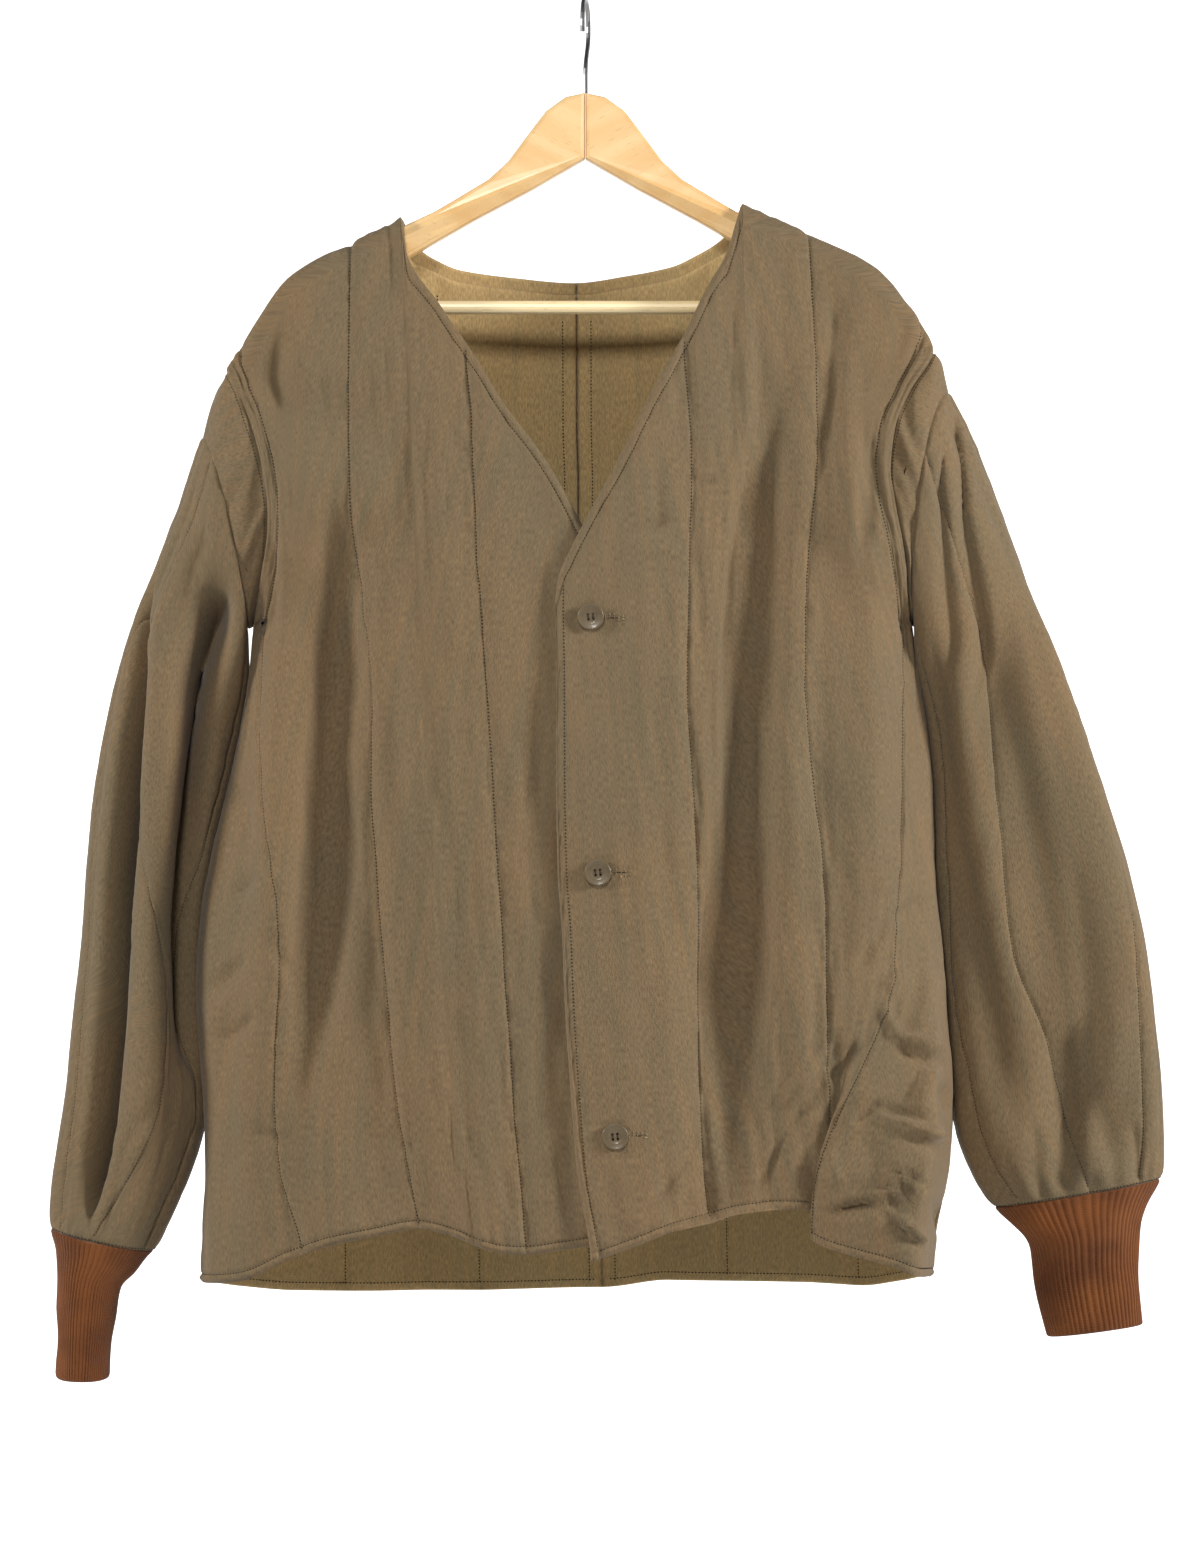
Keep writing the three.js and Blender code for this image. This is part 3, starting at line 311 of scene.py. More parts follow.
def folds(table, x, drop):
    total = np.zeros_like(x)
    for x0, drop0, x1, drop1, width, height in table:
        along = (drop - drop0) / (drop1 - drop0)
        window = smooth(-0.25, 0.2, along) * (1 - smooth(0.75, 1.25, along))
        total += height * window * np.exp(-(((x - mix(x0, x1, along)) / width) ** 2))
    return total * smooth(10, 60, drop - ROOF(x))


def creases(table, x, drop):
    total = np.zeros_like(x)
    for x0, drop0, x1, drop1, width, height in table:
        length = math.hypot(x1 - x0, drop1 - drop0)
        tx, td = (x1 - x0) / length, (drop1 - drop0) / length
        along = ((x - x0) * tx + (drop - drop0) * td) / length
        off = (x - x0) * td - (drop - drop0) * tx
        window = smooth(-0.1, 0.3, along) * (1 - smooth(0.7, 1.1, along))
        total += height * window * np.exp(-((off / width) ** 2))
    return total


def body_point(x, drop, side, front):
    lines = (RIGHT_FRONT[-1], LEFT_FRONT[-1]) if front else (RIGHT_BACK[-1], LEFT_BACK[-1])
    side_x = lines[0](drop) if side == "right" else lines[1](drop)
    edge = armhole_depth(drop, side, np.abs(side_x - x)) * smooth(60, 200, np.abs(x))
    growth, fall = (FRONT_GROWTH, FRONT_FALL) if front else (BACK_GROWTH, BACK_FALL)
    past = smooth(0, 40, drop - ARMHOLE_TOP[side])
    off = stand_off(x, drop, growth, fall, lines[0](drop), lines[1](drop), edge, past)
    off = off + folds(FRONT_FOLDS if front else BACK_FOLDS, x, drop)
    return np.stack([x, seam_y(x, drop) + (-off if front else off), -drop], -1)


def lap(points, share, drop):
    points[..., 1] += LAP_SET_BACK * smooth(-75, -28, points[..., 0])


FLAP_START, FLAP_FULL, FLAP_ACROSS, FLAP_FORWARD, FLAP_TILT = 690, 850, -52, -28, -22
FLAP_FROM, FLAP_TOP, FLAP_SIDE = 3.1, 4.05, 4.7


def flap(points, share, drop):
    full = smooth(FLAP_START, FLAP_FULL, drop)
    before = share < FLAP_TOP
    near = np.where(before, smooth(FLAP_FROM, FLAP_TOP, share), 1 - smooth(FLAP_TOP, 5, share))
    rising = np.clip((share - FLAP_FROM) / (FLAP_TOP - FLAP_FROM), 0, 1)
    edge_x = mix(LEFT_FRONT[4](drop), LEFT_FRONT[5](drop), FLAP_TOP - 4)
    edge_y = body_point(edge_x, drop, "left", True)[..., 1]
    held = FLAP_FORWARD + FLAP_TILT * (share - FLAP_TOP) + edge_y - points[..., 1]
    held = held * (1 - smooth(FLAP_SIDE, 5, share))
    points[..., 0] += FLAP_ACROSS * full * near
    points[..., 1] += np.sqrt(full) * np.where(before, FLAP_FORWARD * rising, held)


def flap_thin(share, drop):
    # inside the fold the padding is pressed flat
    return 0.8 * smooth(700, 800, drop) * smooth(3.3, 3.7, share) * (1 - smooth(4.85, 5, share))


# %% [markdown]
# Cloth is made from grids. A bmesh grid is laid for the outside and another for the inside, every point
# is carried to its place on the worked-out surface, and the two are merged where they meet, at the
# pinched edges. So each piece is closed, with rounded edges like those of real padded cloth. Every point
# keeps its place on the flat pattern in the UV map, so a weave follows the cloth.

# %% A padded wall from two grids
def lay_grid(bm, points, flat, uv_layer, material):
    rows, count = points.shape[:2]
    made = bmesh.ops.create_grid(bm, x_segments=count - 1, y_segments=rows - 1, size=1)["verts"]
    place = {}
    for vert in made:
        i = round((vert.co.x + 1) / 2 * (count - 1))
        j = round((vert.co.y + 1) / 2 * (rows - 1))
        place[vert] = flat[j, i]
        vert.co = points[j, i] * MM
    for face in {face for vert in made for face in vert.link_faces}:
        face.material_index = material
        face.smooth = True
        for loop in face.loops:
            loop[uv_layer].uv = place[loop.vert]


def cloth_piece(name, outer, inner, flat, materials):
    bm = bmesh.new()
    uv_layer = bm.loops.layers.uv.new("cloth")
    lay_grid(bm, outer, flat * MM, uv_layer, 0)
    lay_grid(bm, inner, flat * MM, uv_layer, 1)
    bmesh.ops.remove_doubles(bm, verts=bm.verts, dist=0.00001)
    bmesh.ops.recalc_face_normals(bm, faces=bm.faces)
    return finish_piece(name, bm, materials)


def finish_piece(name, bm, materials):
    mesh = bpy.data.meshes.new(name)
    bm.to_mesh(mesh)
    bm.free()
    for material in materials:
        mesh.materials.append(material)
    piece = bpy.data.objects.new(name, mesh)
    bpy.context.scene.collection.objects.link(piece)
    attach(piece, "root")
    print(name, len(mesh.polygons), "faces")
    return piece


# %% [markdown]
# Each finish starts from the real cloth. One small function adds a node, one turns a hex colour into the
# linear numbers that Blender uses.

# %% Material tools
def hex_color(text):
    channels = [int(text[i:i + 2], 16) / 255 for i in (0, 2, 4)]
    return tuple(c / 12.92 if c <= 0.04045 else ((c + 0.055) / 1.055) ** 2.4 for c in channels) + (1,)


def new_finish(name, **sockets):
    material = bpy.data.materials.new(name)
    material.use_nodes = True
    shader = material.node_tree.nodes["Principled BSDF"]
    for socket, value in sockets.items():
        shader.inputs[socket.replace("_", " ")].default_value = value
    return material, shader


def add(material, kind, inputs=(), **settings):
    node = material.node_tree.nodes.new("ShaderNode" + kind)
    for key, value in settings.items():
        setattr(node, key, value)
    for socket, value in dict(inputs).items():
        if isinstance(value, bpy.types.NodeSocket):
            material.node_tree.links.new(value, node.inputs[socket])
        else:
            node.inputs[socket].default_value = value
    return node


def link(material, source, target):
    material.node_tree.links.new(source, target)


# %% [markdown]
# Cloth, plastic and wood all vary between two close colours, so one function mixes a pair of them.

# %% Two tones
def two_tones(material, share, low, high):
    tone = add(material, "Mix", {"Factor": share}, data_type="RGBA")
    tone.inputs[6].default_value = hex_color(low)
    tone.inputs[7].default_value = hex_color(high)
    return tone.outputs[2]


# %% [markdown]
# The shell is a plain cotton sateen, a little uneven in its dye: brown where it is worn and greener in
# the hollows, with faint slubs down the cloth. Its real thread is 0.3 mm, too fine for the render, so
# the weave is drawn at 0.9 mm.

# %% Shell and lining cloth
def cotton(name, brown, green, slub_strength=0.5):
    material, shader = new_finish(name, Roughness=0.88, Sheen_Weight=0.12, Sheen_Roughness=0.45)
    shader.inputs["Specular IOR Level"].default_value = 0.25
    flat = add(material, "UVMap", uv_map="cloth").outputs["UV"]
    place = add(material, "TexCoord").outputs["Object"]
    patches = add(material, "TexNoise", {"Vector": place, "Scale": 7.0, "Detail": 3.0, "Roughness": 0.55})
    streaks_at = add(material, "Mapping", {"Vector": flat, "Scale": (150.0, 7.0, 1.0)})
    streaks = add(material, "TexNoise", {"Vector": streaks_at.outputs[0], "Scale": 1.0, "Detail": 4.0})
    fine_at = add(material, "Mapping", {"Vector": flat, "Scale": (900.0, 260.0, 1.0)})
    fine = add(material, "TexNoise", {"Vector": fine_at.outputs[0], "Scale": 1.0, "Detail": 2.0})
    dye = add(material, "Mix", {"A": patches.outputs["Fac"], "B": streaks.outputs["Fac"], "Factor": 0.55})
    share = add(material, "MapRange", {"Value": dye.outputs[0], "From Min": 0.4, "From Max": 0.6})
    tone = two_tones(material, share.outputs[0], green, brown)
    speckle = add(material, "MapRange", {"Value": fine.outputs["Fac"], "From Min": 0.3, "From Max": 0.7,
                                         "To Min": 0.74, "To Max": 1.2})
    color = add(material, "Mix", {"Factor": 1.0}, data_type="RGBA", blend_type="MULTIPLY")
    link(material, tone, color.inputs[6])
    link(material, speckle.outputs[0], color.inputs[7])
    link(material, color.outputs[2], shader.inputs["Base Color"])
    weave = add(material, "TexWave", {"Vector": flat, "Scale": 350.0, "Distortion": 0.6},
                bands_direction="DIAGONAL")
    height = add(material, "Mix", {"A": weave.outputs["Fac"], "B": fine.outputs["Fac"], "Factor": 0.6})
    relief = add(material, "Bump", {"Height": height.outputs[0], "Strength": slub_strength,
                                    "Distance": 0.00035})
    link(material, relief.outputs[0], shader.inputs["Normal"])
    return material


shell_cloth = cotton("olive_cotton_sateen", "7c664a", "70624a")
lining_cloth = cotton("khaki_cotton_lining", "b89b6b", "aa9468")
thread_finish, shader = new_finish("olive_cotton_thread", Roughness=0.8)
shader.inputs["Base Color"].default_value = hex_color("241d12")

# %% [markdown]
# A panel's columns lie closer together at its free edge, at the neck's corner and at the side seam, and
# its rows at the top and the hem, where the cloth turns. Rows follow the edges, so an edge is smooth.

# %% Columns and rows of a panel
EDGE_STEPS = np.array([0, 0.35, 0.8, 1.4, 2.1, 3, 4, 5, 6, 7, 8, 9.5, 12])
UPPER_ROWS = 52


def panel_shares(cells, first_width, free_edge):
    shares = list(EDGE_STEPS / first_width) if free_edge else list(np.arange(0, 12, 2) / first_width)
    start = shares[-1]
    t = np.arange(1, cells[0] + 1) / cells[0]
    shares += list(start + (1 - start) * (t + 0.5 * (np.sin(math.pi * t) / math.pi)))
    for channel, count in enumerate(cells[1:], 1):
        t = np.arange(1, count + 1) / count
        t = t - 0.68 * np.sin(2 * math.pi * t) / (2 * math.pi)
        if channel == 1:
            t = 1 - (1 - t) ** 1.6
        if channel == len(cells) - 1:
            t = np.sin(t * math.pi / 2)
        shares += list(channel + t)
    return np.array(shares)


def panel_drops(start, end, slope, share_to_side, lower_rows):
    steep = np.minimum(np.sqrt(1 + slope ** 2), 2.7)
    top = start[None] + EDGE_STEPS[:, None] * steep[None]
    level = mix(start + 0.27 * (end - start), UNDERARM, share_to_side)
    t = (np.arange(1, UPPER_ROWS + 1) / UPPER_ROWS)[:, None]
    upper = (t + np.sin(t * math.pi / 2)) / 2
    chest = mix(top[-1], level, upper)
    bottom = end[None] - EDGE_STEPS[::-1, None]
    t = (np.arange(1, lower_rows) / lower_rows)[:, None]
    lower = mix(level, bottom[0], 1.25 * t - 0.25 * t ** 2)
    return np.concatenate([top, chest, lower, bottom])


def arc(points, axis):
    steps = np.linalg.norm(np.diff(points, axis=axis), axis=-1)
    pad = [(0, 0), (0, 0)]
    pad[axis] = (1, 0)
    return np.cumsum(np.pad(steps, pad), axis=axis)


def rounded(distance, radius):
    return np.sqrt(1 - (1 - np.clip(distance / radius, 0, 1)) ** 2)


def wall(middle, normal, outside, inside, pinch):
    # a wall's two faces, which meet where it is pinched
    return middle + normal * (outside * pinch)[..., None], middle - normal * (inside * pinch)[..., None]


def rolled_edge(distance):
    # a piped fold 5 mm wide, and the groove of its row of stitches
    roll = 0.5 * np.exp(-(((distance - 3) / 2) ** 2))
    return roll - 1.0 * np.exp(-(((distance - 6) / 1.2) ** 2)) - 0.8 * np.exp(-distance / 6)


# %% [markdown]
# A panel's grid comes from its table. Each column keeps its share of the way between two sewn lines, and
# runs from the neckline or the shoulder to the hem.

# %% The grid of a panel
FIRST_CHANNEL = 95  # mm from a panel's edge to its first sewn line
TOP_DROPS, HEM_DROPS = (130, 470), (840, 940)  # where a column can start and end
ON_SHOULDER = 3  # a column this near the shoulder's bend starts there, and not on the neckline


def panel_grid(front, lines, cells, lower_rows, neckline, hem):
    shares = panel_shares(cells, FIRST_CHANNEL, front)
    count, last = len(shares), len(cells)
    channel, index = np.minimum(shares.astype(int), last - 1), np.arange(count)

    def line_x(drop):
        across = np.stack([line(drop) for line in lines]).reshape(len(lines), -1, count)
        low, high = across[channel, :, index].T, across[channel + 1, :, index].T
        return mix(low, high, shares - channel).reshape(drop.shape)

    start = meet(line_x, top_edge(neckline), *TOP_DROPS, count)
    end = meet(line_x, hem, *HEM_DROPS, count)
    slope = np.gradient(start, line_x(start))
    drop = panel_drops(start, end, slope, smooth(last - 1, last, shares), lower_rows)
    on_neck = start >= ROOF(line_x(start)) + ON_SHOULDER
    return line_x(drop), drop, shares, start, slope, on_neck.astype(float)[None]


# %% [markdown]
# The grid is laid on the body's surface. Its normals come from points close by, and from the grid itself
# where a flap is turned over. At the side seam they agree with the armhole band's.

# %% The surface of a panel
NEARBY = 0.3


def panel_surface(side, front, x, drop, share, shape):
    base = body_point(x, drop, side, front)
    to_side = body_point(x + NEARBY, drop, side, front) - body_point(x - NEARBY, drop, side, front)
    to_hem = body_point(x, drop + NEARBY, side, front) - body_point(x, drop - NEARBY, side, front)
    to_side, to_hem = to_side / (2 * NEARBY), to_hem / (2 * NEARBY)
    normal = unit(np.cross(to_side, to_hem) * (-1 if front else 1))
    if shape:
        shape(base, share, drop)
        from_grid = unit(np.cross(np.gradient(base, axis=1), np.gradient(base, axis=0)))
        from_grid = from_grid * np.sign((from_grid * normal).sum(-1).mean())
        normal = unit(mix(normal, from_grid, smooth(2.9, 3.2, share)[..., None]))
    return base, normal, np.linalg.norm(to_side, axis=-1)


def meet_band(normal, across, drop, side, front):
    near = np.exp(-(((across[:, -1:] - across) / 5) ** 2))
    angle = np.arccos(1 - 2 * armhole_share(drop[:, -1], side)) * (1 if front else -1)
    return unit(mix(normal, armhole_normal(angle, -1 if side == "right" else 1)[:, None, :], near[..., None]))


# %% [markdown]
# Padding rises away from a sewn line, whose thread pulls a narrow groove. Short slanted puckers run off
# the rolled edges, under the roll and past its stitches.

# %% Padding and puckers
def quilted(near_line):
    return PUFF * (1 - np.exp(-((near_line / 7) ** 1.2))) - 0.9 * np.exp(-((near_line / 1.2) ** 2))


def edge_puckers(seed, distance, along):
    fine = 0.55 * noise(seed + 5, (along + 0.9 * distance) / 3.4, along / 40)
    wide = 0.6 * noise(seed + 6, (along + 0.4 * distance) / 7, 0 * along)
    return fine * np.exp(-(((distance - 3.2) / 1.8) ** 2)) + wide * np.exp(-(((distance - 10) / 5) ** 2))


# %% [markdown]
# Every point's distance from each sewn line and edge is measured along the cloth. Creases move the whole
# wall, and the padding, the puckers and the rolled edges are added on its outside.

# %% A body panel
EDGE_RADIUS, SEAM_RADIUS = 2.6, 2.0
THINNEST = 0.1


def panel(side, front, lines, cells, lower_rows, neckline, hem, sewn, table, seed, shape=None):
    grid = panel_grid(front, lines, cells, lower_rows, neckline, hem)
    x, drop, shares, start, slope, on_neck = grid
    share = np.broadcast_to(shares, drop.shape)
    base, normal, stretch = panel_surface(side, front, x, drop, share, shape)
    thin = flap_thin(share, drop) if shape is flap else np.zeros_like(x)
    swell = creases(table, base[..., 0], drop)
    across, down = arc(base, 1), arc(base, 0)
    normal = meet_band(normal, across, drop, side, front)
    from_top, from_hem = down / np.minimum(np.sqrt(1 + slope ** 2), 2.7), down[-1:] - down
    from_edge, from_side = across, across[:, -1:] - across
    near_line = np.full(drop.shape, 60.0)
    for line in sewn if front else [0, *sewn]:
        near_line = np.minimum(near_line, np.abs(x - lines[line](drop)) * stretch)
    pucker = 1.1 * np.exp(-near_line / 7) * noise(seed, drop / 6.5, share * 7)
    soft = 1.6 * noise(seed + 1, share * 5, drop / 90) + 0.9 * noise(seed + 2, share * 12, drop / 40)
    soft += 0.45 * noise(seed + 3, share * 9, drop / 13)
    inside = rounded(np.minimum(from_top, from_hem), 14) * rounded(from_side, 14)
    height = quilted(near_line) * rounded(np.minimum(from_hem, from_side), 10) + (pucker + soft) * inside
    height = height * rounded(from_top + 30 * (1 - on_neck), 10)
    height += rolled_edge(from_top) * on_neck + rolled_edge(from_hem)
    height += on_neck * edge_puckers(seed, from_top, across) + edge_puckers(seed, from_hem, across)
    if front:
        height += rolled_edge(from_edge) + edge_puckers(seed, from_edge, down)
    pinch = rounded(from_hem, EDGE_RADIUS) * rounded(from_side, SEAM_RADIUS)
    pinch = pinch * rounded(from_top, EDGE_RADIUS)
    pinch = pinch * rounded(from_edge, EDGE_RADIUS if front else SEAM_RADIUS)
    half = CLOTH / 2 * (1 - thin)
    base = base + normal * (swell * inside * rounded(from_top, 12))[..., None]
    outside = np.maximum(half + np.maximum(height, -1.2) * (1 - 0.6 * thin), THINNEST)
    outer, inner = wall(base - normal * half[..., None], normal, outside, half, pinch)
    flat = np.stack([across + 400 * (0 if side == "right" else 1), down + start[None]], -1)
    return dict(outer=outer, inner=inner, base=base, normal=normal, flat=flat, shares=shares, drop=drop,
                sewn=sewn, across=across, down=down, near_line=near_line)


# %% [markdown]
# The creases of the two fronts: soft diagonals by the armholes, wavy pulls down the cloth, the crumpled
# corner that is folded over at the wearer's left, and the creases at the right side's waist.

# %% Creases of the fronts
RIGHT_FRONT_CREASES = [
    # x0, drop0, x1, drop1, width, height
    (-150, 370, -156, 800, 32, -11), (-176, 320, -180, 640, 13, -5), (-180, 560, -198, 840, 16, -8),
    (-150, 640, -136, 880, 13, -4), (-214, 380, -220, 700, 15, 8), (-262, 705, -238, 680, 4, -5),
    (-256, 742, -230, 720, 4, -5), (-250, 640, -226, 622, 4, -4), (-262, 730, -244, 700, 4, 4),
    (-245, 560, -232, 600, 5, -4), (-237, 800, -205, 812, 4, -3), (-140, 716, -125, 740, 4, -3),
    (-138, 800, -118, 815, 4, -3), (-215, 330, -205, 420, 7, 4), (-224, 350, -214, 470, 4, -4),
    (-60, 450, -40, 700, 9, 1.6), (-20, 520, -10, 800, 8, -1.6), (-100, 300, -96, 520, 9, 1.6),
    (-185, 260, -180, 420, 8, -2), (-240, 820, -225, 880, 8, 3), (-225, 660, -200, 700, 4, -3),
    (-90, 560, -84, 800, 6, -1.2), (-120, 420, -116, 620, 7, 1.2), (-44, 700, -36, 860, 6, 1.2),
]
LEFT_FRONT_CREASES = [
    (100, 360, 94, 780, 28, -11), (98, 580, 84, 1000, 30, -15), (114, 320, 110, 660, 12, -6),
    (140, 690, 128, 880, 12, -7), (196, 290, 200, 720, 22, 12), (160, 320, 166, 600, 14, -3),
    (118, 300, 100, 540, 5, -4), (92, 345, 76, 352, 4, -3), (62, 372, 30, 384, 4, -3),
    (66, 392, 40, 398, 4, 2), (120, 845, 180, 735, 6, -5), (40, 858, 84, 800, 6, -4),
    (128, 470, 118, 620, 5, 3), (186, 255, 183, 420, 7, 4), (200, 300, 196, 400, 6, -4),
    (20, 520, 34, 760, 8, 1.6), (50, 480, 60, 700, 7, -1.6), (36, 560, 40, 700, 5, 1),
    (70, 420, 76, 600, 5, -1.4), (150, 770, 158, 850, 5, -2), (139, 784, 169, 748, 4, 4),
    (136, 772, 166, 736, 4, -4),
    # the crumpled corner: ridges and the valleys beside them
    (206, 714, 219, 736, 3.5, 5), (214, 734, 250, 744, 3.8, 7), (216, 744, 250, 756, 4, -6),
    (172, 766, 190, 740, 4, -8), (203, 789, 230, 797, 3, 5), (222, 795, 252, 805, 3.6, 7),
    (204, 785, 240, 791, 3.5, -5), (222, 803, 250, 815, 3.5, -4), (186, 795, 206, 778, 3.5, -4),
    (178, 795, 204, 772, 4, 4), (169, 857, 203, 848, 3, -6), (172, 850, 201, 842, 4, 4),
    (199, 849, 226, 819, 3.2, 8), (205, 853, 231, 824, 3.5, -7), (213, 859, 241, 823, 3, -5),
    (215, 855, 237, 880, 3.2, 7), (209, 854, 231, 880, 3.5, -6), (243, 757, 230, 789, 4, 5),
    (236, 752, 224, 786, 4, -3), (170, 812, 176, 838, 4, 4), (252, 770, 256, 792, 4, -4),
    (196, 800, 206, 838, 6, -3), (246, 850, 254, 880, 4, -5), (206, 700, 226, 690, 5, 4),
    (214, 655, 240, 640, 5, -4), (202, 640, 216, 600, 5, 3), (186, 690, 208, 655, 4, -3.5),
]

# %% [markdown]
# A front has five channels between its lines and a back four. Each channel has its own number of columns,
# and there are more rows and columns where the cloth is crumpled.

# %% The four panels
RIGHT_BACK_CREASES = [(-200, 420, -150, 470, 9, -3), (-210, 620, -160, 650, 8, -2.5)]
LEFT_BACK_CREASES = [(205, 420, 150, 480, 9, -3), (215, 640, 160, 660, 8, -2.5)]
FRONT_SEWN, BACK_SEWN = [1, 3, 4], [1, 3]  # a table's lines that are quilted
BACK_CELLS, BACK_ROWS = [28, 16, 22, 22], 80
front_right = panel(
    "right", True, RIGHT_FRONT, cells=[36, 30, 20, 32, 26], lower_rows=112, neckline=RIGHT_FRONT_NECK,
    hem=RIGHT_FRONT_HEM, sewn=FRONT_SEWN, table=RIGHT_FRONT_CREASES, seed=11, shape=lap)
front_left = panel(
    "left", True, LEFT_FRONT, cells=[36, 30, 20, 34, 38], lower_rows=146, neckline=LEFT_FRONT_NECK,
    hem=LEFT_FRONT_HEM, sewn=FRONT_SEWN, table=LEFT_FRONT_CREASES, seed=23, shape=flap)
back_right = panel(
    "right", False, RIGHT_BACK, cells=BACK_CELLS, lower_rows=BACK_ROWS, neckline=BACK_NECK,
    hem=BACK_HEM, sewn=BACK_SEWN, table=RIGHT_BACK_CREASES, seed=31)
back_left = panel(
    "left", False, LEFT_BACK, cells=BACK_CELLS, lower_rows=BACK_ROWS, neckline=BACK_NECK,
    hem=BACK_HEM, sewn=BACK_SEWN, table=LEFT_BACK_CREASES, seed=47)

# %% [markdown]
# The flat cut of a sheet is measured along the cloth, with its folds laid out. Each sheet stands for its
# solid, which is hidden, and hangs from the root.

# %% Sheets and their flat cuts
BODY_STRAIGHT_FROM = 0.5  # the share of a panel's rows above which they follow the neck


def cut_size(made, straight_from):
    # the rows that go straight across give the width: on the body they are the lower ones
    first = int(straight_from * len(made["across"]))
    width = float(made["across"][first:, -1].max()) * MM
    length = float(np.percentile(made["down"][-1], 92)) * MM
    points = made["base"] * MM
    sides = np.cross(points[1:, 1:] - points[:-1, :-1], points[1:, :-1] - points[:-1, 1:])
    area = float(np.linalg.norm(sides, axis=-1).sum()) / 2
    return (round(width, 3), round(length, 3)), round(min(area, width * length), 4)


def dress(name, made, kind, materials, straight_from=0.0):
    piece = cloth_piece(name + kind, made["outer"], made["inner"], made["flat"], materials)
    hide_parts(name)
    flat, area = cut_size(made, straight_from)
    print(name, "cut", flat, area)


SHELL = [shell_cloth, lining_cloth]
PANELS = {"front_right": front_right, "front_left": front_left,
          "back_right": back_right, "back_left": back_left}
for name, made in PANELS.items():
    dress(name, made, "_cloth", SHELL, BODY_STRAIGHT_FROM)

# %% [markdown]
# A sleeve is a row of rings from the armhole to the cuff. Each row of its table gives the outer and inner
# ends of a ring, its depth at the front and back, and how far its middle lies from the hanger's plane.

# %% The sleeves' tables
RIGHT_SLEEVE = [
    # outer x, outer drop, inner x, inner drop, front, back, middle, scoop
    (-274, 311, -243, 447, 40, 40, 0, 9), (-289, 356, -243, 482, 44, 44, 9, 7),
    (-304, 391, -246, 512, 47, 47, 17, 4), (-321, 437, -251, 545, 49, 49, 21, 0),
    (-334, 479, -258, 577, 50, 50, 22, 0), (-345, 524, -266, 612, 50, 50, 23, 0),
    (-352, 570, -273, 647, 49, 49, 23, 0), (-356, 615, -276, 682, 48, 48, 23, 0),
    (-360, 668, -275, 720, 47, 47, 23, 0), (-365, 720, -273, 755, 46, 46, 22, 0),
    (-371, 773, -272, 790, 44, 44, 20, 0), (-376, 815, -279, 822, 41, 41, 15, 0),
    (-380, 850, -292, 856, 37, 37, 9, 0), (-381, 876, -309, 892, 33, 33, 5, 0),
]
LEFT_SLEEVE = [
    (260, 279, 240, 447, 40, 40, 0, 16), (275, 307, 240.5, 478, 44, 44, 9, 12),
    (293, 351, 244, 508, 47, 47, 16, 6), (309, 395, 247, 542, 48, 48, 20, 0),
    (326, 439, 249, 577, 49, 49, 22, 0), (343, 482, 249, 612, 49, 49, 22, 0),
    (359, 526, 252, 643, 48, 48, 22, 0), (374, 572, 254, 675, 47, 47, 22, 0),
    (388, 619, 257, 706, 46, 46, 22, 0), (400, 671, 259, 738, 44, 44, 21, 0),
    (407, 724, 261, 769, 41, 41, 19, 0), (411, 769, 264, 801, 36, 36, 14, 0),
    (412, 808, 276, 836, 29, 29, 8, 0), (410, 841, 293, 861, 22, 22, 4, 0),
]
RIGHT_CUFF = [
    RIGHT_SLEEVE[-1], (-377, 891, -321, 906, 31, 31, 4, 0),
    (-376, 910, -333, 919, 29, 29, 3, 0), (-377, 938, -337, 942, 27, 27, 2, 0),
    (-377, 982, -341, 983, 27, 27, 2, 0),
]
LEFT_CUFF = [
    LEFT_SLEEVE[-1], (401, 858, 306, 875, 20, 20, 3, 0),
    (396, 876, 317, 889, 18, 18, 2, 0), (395, 902, 321, 914, 16, 16, 1, 0),
    (398, 944, 330, 953, 15, 15, 0, 0),
]
# Quilting lines in degrees from a sleeve's outer edge: the front is positive, 180 is the seam.
RIGHT_SLEEVE_LINES = [
    # station, outer, middle, inner
    (0, 8, 42, 150), (3, 18, 50, 150), (6, 24, 88, 150), (8, 30, 116, 152), (10, 34, 110, 152),
    (13, 40, 84, 145),
]
LEFT_SLEEVE_LINES = [
    (0, 4, 66, 140), (3, 8, 84, 145), (6, 14, 99, 150), (8, 30, 105, 156), (10, 41, 92, 145),
    (13, 45, 85, 132),
]
BACK_SLEEVE_LINES = (-45, -95, -145)
# A fold's height, its widths in degrees towards the outer edge and away from it, and its line.
RIGHT_SLEEVE_FOLDS = [
    (-56, 15, 6, [(1.4, 16), (2.2, 20), (3.5, 56), (4.4, 67), (5.8, 78), (8.5, 78), (10.2, 75),
                  (12.9, 78)]),
    (10, 10, 15, [(1, 50), (2.3, 58), (3.6, 78), (5, 91), (6.6, 100), (8.2, 99), (12, 100)]),
    (-42, 14, 13, [(0.2, 112), (1.9, 98), (3.5, 112), (4.9, 127), (6.6, 138), (9.6, 146)]),
    (-12, 15, 15, [(2, -60), (12.5, -75)]), (-8, 14, 14, [(1, -112), (11, -120)]),
    # the smaller ones, in the cloth only
    (-2.2, 5, 9, [(3.5, 24), (6, 34), (9, 40), (12.8, 48)]), (2.5, 9, 9, [(8, 58), (12.8, 60)]),
    (-3, 4, 6, [(0.5, 66), (2, 66), (3.4, 64)]), (-3, 5, 5, [(9.5, 112), (11.4, 90), (12.9, 92)]),
    (-2.5, 4, 6, [(0.1, 30), (1.5, 36), (3, 40)]), (-2, 4, 4, [(10.5, 120), (13, 124)]),
]
